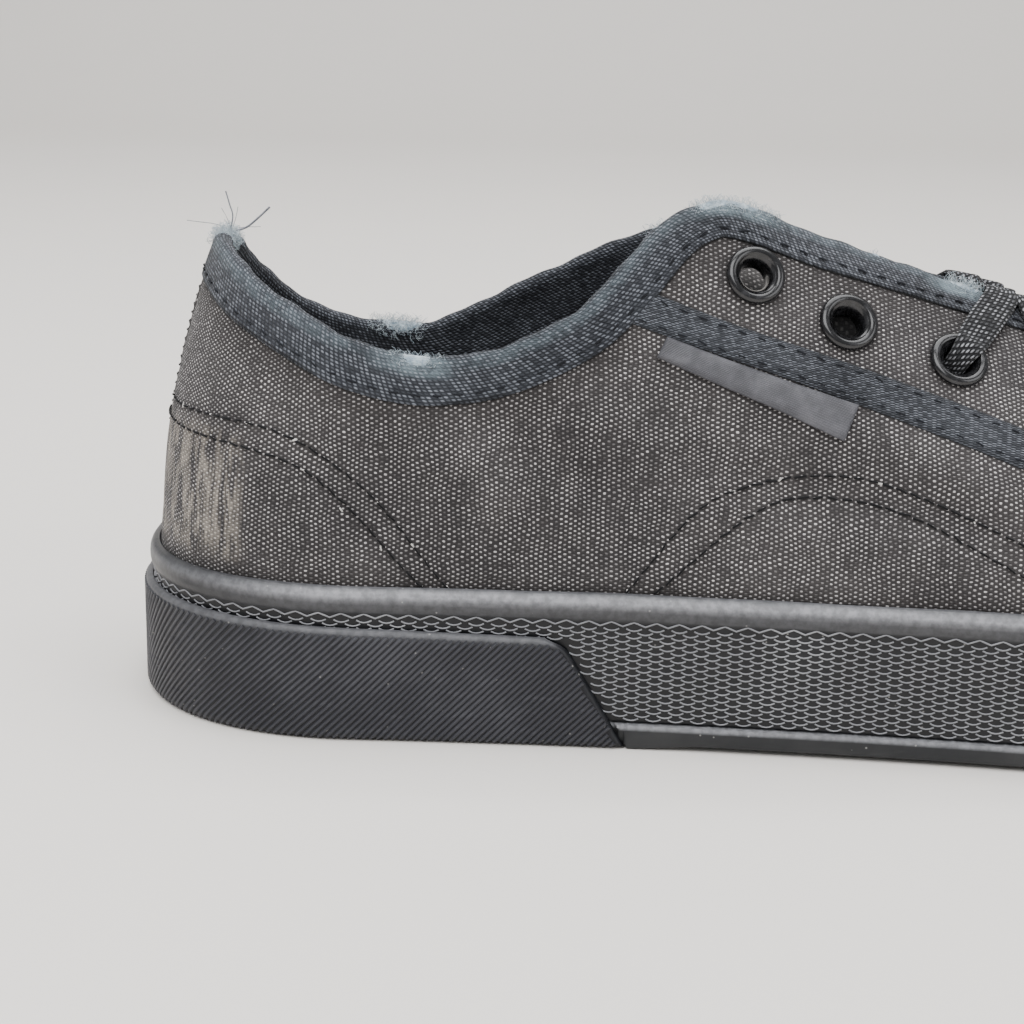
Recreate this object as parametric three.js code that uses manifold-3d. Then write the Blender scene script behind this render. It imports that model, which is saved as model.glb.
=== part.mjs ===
// Worn low-cut canvas sneaker, right shoe, as an assembly of separate solids.
// Millimetres. X runs from the heel to the toe, -Y is the little-toe side, Z is up and the floor is z = 0.
import * as THREE from 'three';
import { mergeVertices } from 'three/addons/utils/BufferGeometryUtils.js';
import Module from 'manifold-3d';

const wasm = await Module();
wasm.setup();

// ---- Driving dimensions -------------------------------------------------------------------
const HEEL_X = 4.2;            // back of the upper at the featherline
const TOE_X = 290.2;           // front of the upper at the featherline
const HEEL_FAN_X = 38;         // sections fan round this point behind it
const TOE_FAN_X = 245;         // and round this one ahead of it
const HEEL_CAP_X = 42;         // the outline's heel curve ends here
const TOE_CAP_X = { lateral: 203, medial: 212 };   // and its toe curves start here
const COLLAR_X = 98;           // collar ends and throat starts
const THROAT_X = 198.5;        // front end of the throat
const LAST_SWING = 7;          // how far the toe turns in
const FEATHER_Z = 25;          // widest line of the upper above the tread
const WALL = 1.8;              // canvas and lining together
const FIT = 0.3;               // gap between pieces that touch

const OUTSOLE_THICK = 4;
const OUTSOLE_LIP = 2.5;       // outsole edge outside the upper's outline
const SIDEWALL_OUT = 1.3;      // sidewall outside the upper's outline, and the outsole where the bumper laps it
const TOE_SPRING = 9;
const SPRING_X = 212;
const ARCH = { lift: 0.8, from: 86, rampIn: 14, to: 148, rampOut: 22 };
const FOXING_TOP = 26;
const FLOOR = { heel: 12, drop: 2, slopeFrom: 110, slopeRun: 60 }; // top of the midsole
const INSOLE_THICK = 4.2;
const GROOVE = { deep: 1.3, wide: 2.2, pitch: 9, heel: [16, 80], forefoot: [168, 276], margin: 6 };

const BUMPER = { thick: 1.2, low: 0.4, high: 20, topDrop: 1.5, frontLow: 86, frontHigh: 75 };
const TONGUE = { top: 82, end: 208, thick: 2.2, clear: 0.6, drop: 3.8 };
const EYELET = { outer: 4.9, hole: 2.5, barrel: 3.05, backFlange: 4.1, bore: 3.4, lift: 0.5 };
const EYELET_X = [104.8, 120.2, 138.4, 155.5, 172.5, 188.5];
const LACE = { wide: 6, thick: 1.2, firstPair: 2, drop: 1.9, edgeClear: 3, endShift: 4.4, barShift: 1.5 };

// ---- Smooth curves through a few points ----------------------------------------------------
function through(points) {
  const slope = points.map((p, i) => {
    const a = points[Math.max(0, i - 1)];
    const b = points[Math.min(points.length - 1, i + 1)];
    return (b[1] - a[1]) / (b[0] - a[0]);
  });
  return (x) => {
    if (x <= points[0][0]) return points[0][1];
    if (x >= points[points.length - 1][0]) return points[points.length - 1][1];
    const i = points.findIndex((p, k) => k > 0 && x <= p[0]) - 1;
    const step = points[i + 1][0] - points[i][0];
    const t = (x - points[i][0]) / step;
    const bend = t * t * (3 - 2 * t);
    return points[i][1] * (1 - bend) + points[i + 1][1] * bend
      + step * (slope[i] * t * (1 - t) * (1 - t) - slope[i + 1] * t * t * (1 - t));
  };
}
const smooth = (t) => {
  const c = THREE.MathUtils.clamp(t, 0, 1);
  return c * c * (3 - 2 * c);
};

// ---- The last: plan outline, instep ridge, opening ------------------------------------------
const HALF_WIDTH = {
  lateral: through([[0, 34.8], [30, 35.4], [52, 35.6], [80, 36.6], [105, 38.6], [130, 41.2],
    [155, 45.2], [180, 50.4], [200, 53.2], [218, 53.6], [240, 52.4], [270, 51]]),
  medial: through([[0, 34.8], [30, 35.4], [52, 35.6], [80, 35.4], [105, 36], [130, 38.6],
    [155, 42.4], [180, 46], [205, 47.8], [222, 47.8], [240, 47.3], [270, 46.5]]),
};
const ridgeHeight = through([[38, 100], [60, 99.5], [80, 100.5], [98, 103], [104, 101.2], [120, 90.6],
  [140, 79.6], [160, 70.2], [180, 62.4], [195, 58], [210, 54], [230, 50], [245, 48.2]]);
const reachPower = through([[38, 2], [60, 2], [98, 1.8], [120, 1.7], [160, 1.75], [200, 2.1], [245, 2.2]]);
const risePower = through([[38, 1.75], [60, 1.75], [98, 1.8], [120, 1.7], [160, 1.75], [200, 2.1], [245, 2.2]]);
// Height of the collar's edge against the outline's x.
const collarHeight = {
  lateral: through([[4.2, 79.2], [8, 78.2], [12.3, 76.4], [19, 73.6], [26, 71], [34.3, 67.8], [39, 65.8], [43, 64.3],
    [50, 62.9], [55, 62.9], [64.4, 64.6], [74.4, 69.2], [78, 71.8], [82, 75.9], [84.5, 78.8], [88, 82.6], [91, 84.9],
    [94, 86.5], [98, 87.8]]),
  medial: through([[4.2, 79.2], [9.6, 74.2], [19.9, 66.6], [28, 62.5], [35, 60.4], [40.7, 59.4], [46, 59.1],
    [51, 59.7], [56.1, 61.9], [62.8, 65.7], [68.5, 69.1], [74.8, 72.6], [79.1, 75], [84, 77.7], [89, 79.9],
    [93.5, 81.4], [98, 82.3]]),
};
const throatHalfGap = {
  lateral: through([[98, 20.2], [104, 19.6], [113, 18.2], [123, 16.4], [134, 14.8], [145, 13.6], [160, 12.4],
    [175, 11.4], [186, 10], [192, 8.2], [195.5, 5.6], [197.6, 2.9], [198.5, 0]]),
  medial: through([[98, 23.3], [104, 22.2], [120, 18.6], [140, 15], [160, 12.9], [175, 11.6], [186, 10], [192, 8.2],
    [195.5, 5.6], [197.6, 2.9], [198.5, 0]]),
};
const eyeletHalfSpan = through([[104.8, 26], [120.2, 26.3], [138.4, 26.9], [155.5, 26.3], [172.5, 25], [188.5, 23]]);

const centreY = (x) => LAST_SWING * smooth((x - 120) / 170);
const spring = (x) => TOE_SPRING * Math.max(0, (x - SPRING_X) / (TOE_X - SPRING_X)) ** 2;
const treadZ = (x) => {
  const arch = smooth((x - ARCH.from) / ARCH.rampIn) * (1 - smooth((x - ARCH.to) / ARCH.rampOut));
  return spring(x) + ARCH.lift * arch;
};
const floorZ = (x) => spring(x) + FLOOR.heel - FLOOR.drop * smooth((x - FLOOR.slopeFrom) / FLOOR.slopeRun);
const sideSign = { lateral: -1, medial: 1 };

const xAt = (u) => HEEL_X + (TOE_X - HEEL_X) * (1 - Math.cos(Math.PI * u)) / 2;
const uAt = (x) => Math.acos(THREE.MathUtils.clamp(1 - 2 * (x - HEEL_X) / (TOE_X - HEEL_X), -1, 1)) / Math.PI;

const spineX = (u) => THREE.MathUtils.clamp(xAt(u), HEEL_FAN_X, TOE_FAN_X);

function rawOutline(u, side) {
  const x = xAt(u);
  const heel = THREE.MathUtils.clamp((HEEL_CAP_X - x) / (HEEL_CAP_X - HEEL_X), 0, 1);
  const toe = THREE.MathUtils.clamp((x - TOE_CAP_X[side]) / (TOE_X - TOE_CAP_X[side]), 0, 1);
  const taper = (1 - heel ** 2.25) ** (1 / 2.25) * (1 - toe ** 2.15) ** (1 / 2.15);
  return new THREE.Vector2(x, centreY(x) + sideSign[side] * HALF_WIDTH[side](x) * taper);
}

// A point of the plan outline, moved out (or in, when negative) along its normal.
function outline(u, side, out = 0) {
  const p = rawOutline(u, side);
  if (out === 0) return p;
  if (u < 1e-6) return p.setX(p.x - out);
  if (u > 1 - 1e-6) return p.setX(p.x + out);
  const along = rawOutline(Math.min(1, u + 1e-4), side).sub(rawOutline(Math.max(0, u - 1e-4), side)).normalize();
  const s = sideSign[side];
  return p.add(new THREE.Vector2(-along.y * s, along.x * s).multiplyScalar(out));
}

// A point of the upper: angle 0 is the featherline, a quarter turn is the ridge over the instep.
function lastPoint(u, side, angle, inset = 0, ridge = ridgeHeight) {
  const edge = outline(u, side, -inset);
  const cx = spineX(u);
  const base = FEATHER_Z + spring(xAt(u));
  const reach = Math.max(0, Math.cos(angle)) ** (2 / reachPower(cx));
  const rise = Math.sin(angle) ** (2 / risePower(cx));
  const cy = centreY(cx);
  const top = ridge(cx) - inset;
  return new THREE.Vector3(cx + (edge.x - cx) * reach, cy + (edge.y - cy) * reach, base + (top - base) * rise);
}

// The angle at which a section reaches a given distance from the centre line.
function angleAtSpan(u, side, span, inset) {
  const edge = outline(u, side, -inset);
  const cx = spineX(u);
  const reach = Math.min(1, span / Math.abs(edge.y - centreY(cx)));
  return Math.acos(reach ** (reachPower(cx) / 2));
}

// The height of the opening's edge, collar and throat.
function rimHeight(u, side) {
  const x = xAt(u);
  if (x >= COLLAR_X) return lastPoint(u, side, rimAngle(u, side)).z;
  const peak = uAt(COLLAR_X);
  const peakZ = lastPoint(peak, side, angleAtSpan(peak, side, throatHalfGap[side](COLLAR_X), 0)).z;
  const lift = (peakZ - collarHeight[side](COLLAR_X)) * smooth((x - 50) / (COLLAR_X - 50));
  return collarHeight[side](x) + lift;
}

function rimAngle(u, side, inset = 0) {
  const x = xAt(u);
  if (x >= THROAT_X - 1e-6) return Math.PI / 2;
  if (x >= COLLAR_X) return angleAtSpan(u, side, throatHalfGap[side](x), inset);
  const cx = spineX(u);
  const rise = (rimHeight(u, side) - FEATHER_Z) / (ridgeHeight(cx) - inset - FEATHER_Z);
  return Math.asin(Math.min(1, rise) ** (risePower(cx) / 2));
}

// ---- Stations along the shoe ------------------------------------------------------------------
function range(from, to, steps) {
  return Array.from({ length: steps }, (_, i) => from + (to - from) * i / steps);
}
const heelTurn = range(0, Math.PI / 2, 9).map((a) => HEEL_CAP_X - (HEEL_CAP_X - HEEL_X) * Math.cos(a));
const toeTurn = range(0, Math.PI / 2, 9).map((a) => TOE_FAN_X + (TOE_X - TOE_FAN_X) * Math.sin(a));
const STATION_X = [...heelTurn, ...range(HEEL_CAP_X, BUMPER.frontLow, 6), BUMPER.frontLow, BUMPER.frontLow + 1.5,
  92.5, ...range(COLLAR_X, 188, 9), 188, 192, 195.5, ...range(THROAT_X, TOE_FAN_X, 5), ...toeTurn, TOE_X];
const STATIONS = STATION_X.map(uAt);
const N = STATIONS.length - 1;

// A ring round the shoe: lateral side heel to toe, then medial side back to the heel.
function ring(pointAt) {
  const lateral = STATIONS.map((u) => pointAt(u, 'lateral'));
  const medial = STATIONS.slice(1, N).map((u) => pointAt(u, 'medial')).reverse();
  return [...lateral, ...medial];
}
function ringAt(out, heightAt) {
  return ring((u, side) => {
    const x = xAt(u);
    const p = outline(u, side, typeof out === 'function' ? out(x) : out);
    return new THREE.Vector3(p.x, p.y, heightAt(x));
  });
}

// ---- Solids from faces --------------------------------------------------------------------------
function solidFromFaces(faces) {
  const points = [];
  for (const face of faces) {
    for (let i = 1; i < face.length - 1; i += 1) {
      for (const p of [face[0], face[i], face[i + 1]]) points.push(p.x, p.y, p.z);
    }
  }
  const loose = new THREE.BufferGeometry();
  loose.setAttribute('position', new THREE.Float32BufferAttribute(points, 3));
  return outwardOnly(mergeVertices(loose, 1e-3));
}

// Drops triangles that closed up to a line and turns the faces outward.
function outwardOnly(geometry) {
  const index = geometry.index.array;
  const kept = [];
  for (let i = 0; i < index.length; i += 3) {
    const [a, b, c] = [index[i], index[i + 1], index[i + 2]];
    if (a !== b && b !== c && c !== a) kept.push(a, b, c);
  }
  const position = geometry.getAttribute('position');
  const corner = (i) => new THREE.Vector3().fromBufferAttribute(position, i);
  let volume = 0;
  for (let i = 0; i < kept.length; i += 3) {
    volume += corner(kept[i]).dot(corner(kept[i + 1]).cross(corner(kept[i + 2])));
  }
  geometry.setIndex(volume < 0 ? kept.reverse() : kept);
  return geometry;
}

function bandFaces(low, high, closed = true) {
  const count = closed ? low.length : low.length - 1;
  return Array.from({ length: count }, (_, i) => {
    const j = (i + 1) % low.length;
    return [low[i], low[j], high[j], high[i]];
  });
}
function ladderFaces(loop, facesUp) {
  const across = (i) => loop[(loop.length - i) % loop.length];
  return range(0, N, N).map((i) => {
    const face = [loop[i], loop[i + 1], across(i + 1), across(i)];
    return facesUp ? face : face.reverse();
  });
}
// A plate or cup: rings from its underside, round its side, to its top face.
function stackedRings(rings) {
  const faces = [...ladderFaces(rings[0], false)];
  for (let i = 0; i < rings.length - 1; i += 1) faces.push(...bandFaces(rings[i], rings[i + 1]));
  faces.push(...ladderFaces(rings[rings.length - 1], true));
  return solidFromFaces(faces);
}
// A bar of any section that changes along its way; the sections' loops have equal counts.
function skinned(sections) {
  const faces = [[...sections[0]].reverse(), [...sections[sections.length - 1]]];
  for (let i = 0; i < sections.length - 1; i += 1) faces.push(...bandFaces(sections[i], sections[i + 1]));
  return solidFromFaces(faces);
}

// ---- Booleans -------------------------------------------------------------------------------------
function toManifold(geometry) {
  const bare = geometry.clone();
  bare.deleteAttribute('normal');
  bare.deleteAttribute('uv');
  const merged = mergeVertices(bare, 1e-4);
  return new wasm.Manifold(new wasm.Mesh({
    numProp: 3,
    vertProperties: new Float32Array(merged.getAttribute('position').array),
    triVerts: new Uint32Array(merged.index.array),
  }));
}
function fromManifold(solid) {
  const mesh = solid.getMesh();
  const geometry = new THREE.BufferGeometry();
  geometry.setAttribute('position', new THREE.BufferAttribute(new Float32Array(mesh.vertProperties), 3));
  geometry.setIndex(new THREE.BufferAttribute(new Uint32Array(mesh.triVerts), 1));
  return geometry;
}

// ---- Eyelet places ----------------------------------------------------------------------------------
function eyeletPlace(x, side) {
  const u = uAt(x);
  const angle = angleAtSpan(u, side, eyeletHalfSpan(x), 0);
  const step = 1e-3;
  const centre = lastPoint(u, side, angle);
  const up = lastPoint(u, side, angle + step).sub(centre);
  const along = lastPoint(u + step, side, angle).sub(centre);
  const normal = new THREE.Vector3().crossVectors(along, up).normalize();
  if (normal.z < 0) normal.negate();
  return { centre, turn: new THREE.Quaternion().setFromUnitVectors(new THREE.Vector3(0, 1, 0), normal) };
}

// ---- Sub-parts ------------------------------------------------------------------------------------
function makeUpper() {
  const rows = 8;
  const shell = (inset, fraction) => ring((u, side) => lastPoint(u, side, rimAngle(u, side, inset) * fraction, inset));
  const foot = (inset) => ringAt(-inset, (x) => floorZ(x) + FIT);
  const fractions = Array.from({ length: rows + 1 }, (_, i) => i / rows);
  const outer = [foot(0), ...fractions.map((f) => shell(0, f))];
  const inner = [foot(WALL), ...fractions.map((f) => shell(WALL, f))];
  const faces = [];
  for (let i = 0; i < outer.length - 1; i += 1) {
    faces.push(...bandFaces(outer[i], outer[i + 1]));
    faces.push(...bandFaces(inner[i + 1], inner[i]));
  }
  faces.push(...bandFaces(inner[0], outer[0]));
  const rimOut = outer[outer.length - 1];
  const rimIn = inner[inner.length - 1];
  const lastOpen = STATION_X.findIndex((x) => x >= THROAT_X - 1e-6);
  bandFaces(rimOut, rimIn).forEach((face, i) => {
    const station = i < N ? i : 2 * N - 1 - i;
    if (station < lastOpen) faces.push(face);
  });
  let solid = toManifold(solidFromFaces(faces));
  for (const x of EYELET_X) {
    for (const side of ['lateral', 'medial']) {
      const { centre, turn } = eyeletPlace(x, side);
      const punch = new THREE.CylinderGeometry(EYELET.bore, EYELET.bore, 12, 10);
      punch.applyQuaternion(turn).translate(centre.x, centre.y, centre.z);
      solid = solid.subtract(toManifold(punch));
    }
  }
  return fromManifold(solid);
}

function makeMidsole() {
  const base = OUTSOLE_THICK + FIT;
  const out = SIDEWALL_OUT;
  const profile = [[out - 0.4, base], [out, base + 0.5], [out, 21.4], [out + 0.3, 22.2], [out + 0.35, 24.2],
    [out, 25.4], [out - 0.5, FOXING_TOP], [FIT, FOXING_TOP - 0.4]];
  const rings = profile.map(([away, up]) => ringAt(away, (x) => spring(x) + up));
  return stackedRings([...rings, ringAt(FIT, floorZ)]);
}

function makeOutsole() {
  const lip = (less) => (x) => (x < BUMPER.frontLow + 1 ? SIDEWALL_OUT : OUTSOLE_LIP) - less;
  const plate = stackedRings([ringAt(lip(0.7), treadZ), ringAt(lip(0), (x) => treadZ(x) + 0.9),
    ringAt(lip(0), (x) => spring(x) + OUTSOLE_THICK - 0.4), ringAt(lip(0.5), (x) => spring(x) + OUTSOLE_THICK)]);
  let solid = toManifold(plate);
  const cut = (x) => {
    const groove = new THREE.BoxGeometry(GROOVE.wide, 2 * grooveReach(x), 20);
    return toManifold(groove.translate(x, centreY(x), treadZ(x) + GROOVE.deep - 10));
  };
  for (const [first, end] of [GROOVE.heel, GROOVE.forefoot]) {
    for (let x = first; x < end; x += GROOVE.pitch) solid = solid.subtract(cut(x));
  }
  return fromManifold(solid);
}
function grooveReach(x) {
  const narrow = Math.min(...['lateral', 'medial'].map((s) => Math.abs(rawOutline(uAt(x), s).y - centreY(x))));
  return narrow - GROOVE.margin;
}

function makeBumper() {
  const inside = SIDEWALL_OUT + FIT;
  const outside = inside + BUMPER.thick;
  const profile = [[inside, BUMPER.low], [outside - 0.6, BUMPER.low], [outside, 2.4], [outside + 0.1, 11],
    [outside, BUMPER.high - 1.6], [outside - 0.7, BUMPER.high - 0.3], [inside, BUMPER.high]];
  const steps = 16;
  const sections = [];
  for (let i = -steps; i <= steps; i += 1) {
    const side = i < 0 ? 'lateral' : 'medial';
    sections.push(profile.map(([out, up]) => {
      const t = (up - BUMPER.low) / (BUMPER.high - BUMPER.low);
      const front = THREE.MathUtils.lerp(BUMPER.frontLow, BUMPER.frontHigh, t);
      const p = outline(uAt(front) * Math.abs(i) / steps, side, out);
      const sink = BUMPER.topDrop * t * THREE.MathUtils.clamp(p.x / BUMPER.frontHigh, 0, 1);
      return new THREE.Vector3(p.x, p.y, up - sink);
    }));
  }
  return skinned(sections);
}

function makeInsole() {
  const side = WALL + 0.5;
  const rise = (up) => (x) => floorZ(x) + FIT + up;
  return stackedRings([ringAt(-side - 0.6, rise(0)), ringAt(-side, rise(0.8)),
    ringAt(-side, rise(INSOLE_THICK - 0.8)), ringAt(-side - 1, rise(INSOLE_THICK))]);
}

// The tongue's crown runs below the throat's edges and then under the vamp.
const tongueRidge = (x) => {
  const u = uAt(Math.max(x, COLLAR_X));
  const rim = Math.min(rimHeight(u, 'lateral'), rimHeight(u, 'medial'));
  return rim - TONGUE.drop - 12 * smooth((COLLAR_X - x) / (COLLAR_X - TONGUE.top)) + WALL;
};
const tongueHalfWidth = through([[82, 25], [100, 29], [140, 28], [190, 25], [208, 22]]);

function makeTongue() {
  const across = 6;
  const sections = [...range(TONGUE.top, THROAT_X, 13), THROAT_X, TONGUE.end].map((x) => {
    const u = uAt(x);
    const half = (side, inset) => Array.from({ length: across + 1 }, (_, k) => {
      const span = tongueHalfWidth(x) * (1 - k / across);
      return lastPoint(u, side, angleAtSpan(u, side, span, inset), inset, tongueRidge);
    });
    const outer = WALL + TONGUE.clear;
    const inner = outer + TONGUE.thick;
    const line = (inset) => [...half('lateral', inset), ...half('medial', inset).reverse().slice(1)];
    return [...line(outer), ...line(inner).reverse()];
  });
  return ribbonSolid(sections);
}
// A sheet's solid: each section is its top line and its bottom line back again.
function ribbonSolid(sections) {
  const half = sections[0].length / 2;
  const endFaces = (loop) => Array.from({ length: half - 1 }, (_, i) => {
    const j = loop.length - 1 - i;
    return [loop[i], loop[i + 1], loop[j - 1], loop[j]];
  });
  const faces = endFaces(sections[0]).map((face) => face.reverse());
  faces.push(...endFaces(sections[sections.length - 1]));
  for (let i = 0; i < sections.length - 1; i += 1) faces.push(...bandFaces(sections[i], sections[i + 1]));
  return solidFromFaces(faces);
}

function makeEyelet() {
  const { outer, hole, barrel, backFlange, lift } = EYELET;
  const front = lift;
  const back = -WALL - lift;
  const profile = [[barrel, back], [barrel, front], [outer - 0.5, front], [outer, front + 0.35],
    [(outer + hole) / 2, front + 1], [hole, front + 0.3], [hole, back - 0.3], [backFlange, back - 0.4],
    [backFlange, back]];
  const closed = [...profile, profile[0]].map(([r, y]) => new THREE.Vector2(r, y));
  const lathe = new THREE.LatheGeometry(closed, 10);
  lathe.deleteAttribute('normal');
  lathe.deleteAttribute('uv');
  return outwardOnly(mergeVertices(lathe, 1e-3));
}

// Flat braid from one side of the throat to the other, lying just under the level of its edges.
function laceBar(fromX, toX) {
  const level = (x) => {
    const u = uAt(x);
    return Math.min(rimHeight(u, 'lateral'), rimHeight(u, 'medial')) - LACE.drop;
  };
  const place = (x, side) => {
    const y = centreY(x) + sideSign[side] * (throatHalfGap[side](x) - LACE.edgeClear);
    return new THREE.Vector3(x, y, level(x));
  };
  const a = place(fromX, 'lateral');
  const b = place(toX, 'medial');
  const along = b.clone().sub(a).normalize();
  const fall = new THREE.Vector3(1, 0, (level(toX + 4) - level(toX - 4)) / 8).normalize();
  const up = new THREE.Vector3().crossVectors(fall, along).normalize();
  const wide = new THREE.Vector3().crossVectors(along, up).multiplyScalar(LACE.wide / 2);
  const high = up.multiplyScalar(LACE.thick / 2);
  const corners = (p) => [[1, 1], [-1, 1], [-1, -1], [1, -1]].map(([i, j]) => (
    p.clone().addScaledVector(wide, i).addScaledVector(high, j)));
  return skinned([corners(a), corners(b)]);
}
function laceCross(x, nextX) {
  const [a, b] = [x + LACE.endShift, nextX - LACE.endShift];
  return fromManifold(toManifold(laceBar(a, b)).add(toManifold(laceBar(b, a))));
}

// ---- Assembly -------------------------------------------------------------------------------------
const FINISH = {
  canvas: { color: '#4c4845', roughness: 0.95, metalness: 0 },
  tongueCanvas: { color: '#45474b', roughness: 0.95, metalness: 0 },
  lining: { color: '#5a5652', roughness: 0.95, metalness: 0 },
  rubber: { color: '#242527', roughness: 0.5, metalness: 0 },
  ribbedRubber: { color: '#1f2022', roughness: 0.6, metalness: 0 },
  tread: { color: '#2a2b2d', roughness: 0.7, metalness: 0 },
  enamel: { color: '#16171a', roughness: 0.25, metalness: 0.4 },
  braid: { color: '#1c1d20', roughness: 0.9, metalness: 0 },
};
const shoe = new THREE.Group();
function addPart(name, geometry, finish) {
  const mesh = new THREE.Mesh(geometry, new THREE.MeshStandardMaterial(FINISH[finish]));
  mesh.name = name;
  shoe.add(mesh);
  return mesh;
}

addPart('upper', makeUpper(), 'canvas');
addPart('foxing_midsole', makeMidsole(), 'rubber');
addPart('outsole', makeOutsole(), 'tread');
addPart('heel_bumper', makeBumper(), 'ribbedRubber');
addPart('insole', makeInsole(), 'lining');
addPart('tongue', makeTongue(), 'tongueCanvas');

EYELET_X.forEach((x, i) => {
  for (const side of ['lateral', 'medial']) {
    const ringMesh = addPart(`eyelet_${side}_${i + 1}`, makeEyelet(), 'enamel');
    const { centre, turn } = eyeletPlace(x, side);
    ringMesh.position.copy(centre);
    ringMesh.quaternion.copy(turn);
  }
});

const laced = EYELET_X.slice(LACE.firstPair);
laced.slice(1).forEach((x, i) => addPart(`lace_cross_${i + 1}`, laceCross(laced[i], x), 'braid'));
const barX = laced[laced.length - 1] + LACE.barShift;
addPart('lace_bar', laceBar(barX, barX), 'braid');

// The origin is the middle of the footprint, on the floor.
const box = new THREE.Box3().setFromObject(shoe);
shoe.position.set(-(box.min.x + box.max.x) / 2, -(box.min.y + box.max.y) / 2, -box.min.z);

export default shoe;
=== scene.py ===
import math

import bmesh
import bpy
import numpy as np
from mathutils import Matrix, Vector


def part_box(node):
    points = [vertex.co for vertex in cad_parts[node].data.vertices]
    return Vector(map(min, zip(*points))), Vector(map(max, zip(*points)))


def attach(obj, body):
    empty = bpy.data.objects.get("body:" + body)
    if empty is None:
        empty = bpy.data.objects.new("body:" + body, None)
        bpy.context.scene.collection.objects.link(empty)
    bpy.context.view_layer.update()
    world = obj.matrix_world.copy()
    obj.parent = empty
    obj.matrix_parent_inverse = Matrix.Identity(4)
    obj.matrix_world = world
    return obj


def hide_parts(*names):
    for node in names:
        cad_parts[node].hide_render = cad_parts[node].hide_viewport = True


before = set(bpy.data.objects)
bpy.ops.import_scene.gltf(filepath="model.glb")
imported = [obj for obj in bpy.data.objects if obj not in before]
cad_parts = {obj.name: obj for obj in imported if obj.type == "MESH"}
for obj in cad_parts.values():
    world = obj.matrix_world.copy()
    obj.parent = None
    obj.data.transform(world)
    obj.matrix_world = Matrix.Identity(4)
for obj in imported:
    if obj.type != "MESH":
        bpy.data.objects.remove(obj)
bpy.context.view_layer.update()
print("frame: loaded", len(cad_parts), "nodes")

# the shoe's own millimetres: x from heel to toe, -y the little-toe side, floor at z = 0

last = {
    "heelX": 4.2, "toeX": 290.2,  # ends of the upper at the featherline
    "heelFan": 38.0, "toeFan": 245.0,  # sections fan round these points
    "heelCap": 42.0, "toeCapLateral": 203.0, "toeCapMedial": 212.0,
    "collarX": 98.0, "throatX": 198.5,  # the collar meets the throat, the throat ends
    "swing": 7.0, "feather": 25.0, "wall": 1.8,
    "toeSpring": 9.0, "springX": 212.0, "archLift": 0.8,
    "heelFloor": 12.0, "floorDrop": 2.0,
}


def through(points):
    px, py = np.array(points, float).T
    count = len(px)
    before = np.clip(np.arange(count) - 1, 0, count - 1)
    after = np.clip(np.arange(count) + 1, 0, count - 1)
    slope = (py[after] - py[before]) / (px[after] - px[before])

    def curve(x):
        x = np.clip(x, px[0], px[-1])
        i = np.clip(np.searchsorted(px, x) - 1, 0, count - 2)
        step = px[i + 1] - px[i]
        t = (x - px[i]) / step
        bend = t * t * (3 - 2 * t)
        lean = slope[i] * t * (1 - t) ** 2 - slope[i + 1] * t * t * (1 - t)
        return py[i] * (1 - bend) + py[i + 1] * bend + step * lean
    return curve


def smoothStep(t):
    c = np.clip(t, 0, 1)
    return c * c * (3 - 2 * c)


halfLateral = through([[0, 34.8], [30, 35.4], [52, 35.6], [80, 36.6], [105, 38.6], [130, 41.2],
                       [155, 45.2], [180, 50.4], [200, 53.2], [218, 53.6], [240, 52.4], [270, 51]])
halfMedial = through([[0, 34.8], [30, 35.4], [52, 35.6], [80, 35.4], [105, 36], [130, 38.6],
                      [155, 42.4], [180, 46], [205, 47.8], [222, 47.8], [240, 47.3], [270, 46.5]])
ridgeHeight = through([[38, 100], [60, 99.5], [80, 100.5], [98, 103], [104, 101.2], [120, 90.6],
                       [140, 79.6], [160, 70.2], [180, 62.4], [195, 58], [210, 54], [230, 50], [245, 48.2]])
reachPower = through([[38, 2], [60, 2], [98, 1.8], [120, 1.7], [160, 1.75], [200, 2.1], [245, 2.2]])
risePower = through([[38, 1.75], [60, 1.75], [98, 1.8], [120, 1.7], [160, 1.75], [200, 2.1], [245, 2.2]])
collarLateral = through([[4.2, 79.2], [8, 78.2], [12.3, 76.4], [19, 73.6], [26, 71], [34.3, 67.8], [39, 65.8],
                         [43, 64.3], [50, 62.9], [55, 62.9], [64.4, 64.6], [74.4, 69.2], [78, 71.8],
                         [82, 75.9], [84.5, 78.8], [88, 82.6], [91, 84.9], [94, 86.5], [98, 87.8]])
collarMedial = through([[4.2, 79.2], [9.6, 74.2], [19.9, 66.6], [28, 62.5], [35, 60.4], [40.7, 59.4],
                        [46, 59.1], [51, 59.7], [56.1, 61.9], [62.8, 65.7], [68.5, 69.1], [74.8, 72.6],
                        [79.1, 75], [84, 77.7], [89, 79.9], [93.5, 81.4], [98, 82.3]])
gapLateral = through([[98, 20.2], [104, 19.6], [113, 18.2], [123, 16.4], [134, 14.8], [145, 13.6],
                      [160, 12.4], [175, 11.4], [186, 10], [192, 8.2], [195.5, 5.6], [197.6, 2.9], [198.5, 0]])
gapMedial = through([[98, 23.3], [104, 22.2], [120, 18.6], [140, 15], [160, 12.9], [175, 11.6], [186, 10],
                     [192, 8.2], [195.5, 5.6], [197.6, 2.9], [198.5, 0]])


def pick(side, lateral, medial):
    return np.where(np.asarray(side) < 0, lateral, medial)


def centreY(x):
    return last["swing"] * smoothStep((x - 120) / 170)


def spring(x):
    return last["toeSpring"] * np.clip((x - last["springX"]) / (last["toeX"] - last["springX"]), 0, None) ** 2


def floorZ(x):
    return spring(x) + last["heelFloor"] - last["floorDrop"] * smoothStep((x - 110) / 60)


def xAt(u):
    return last["heelX"] + (last["toeX"] - last["heelX"]) * (1 - np.cos(np.pi * u)) / 2


def uAt(x):
    share = (x - last["heelX"]) / (last["toeX"] - last["heelX"])
    return np.arccos(np.clip(1 - 2 * share, -1, 1)) / np.pi


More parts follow.
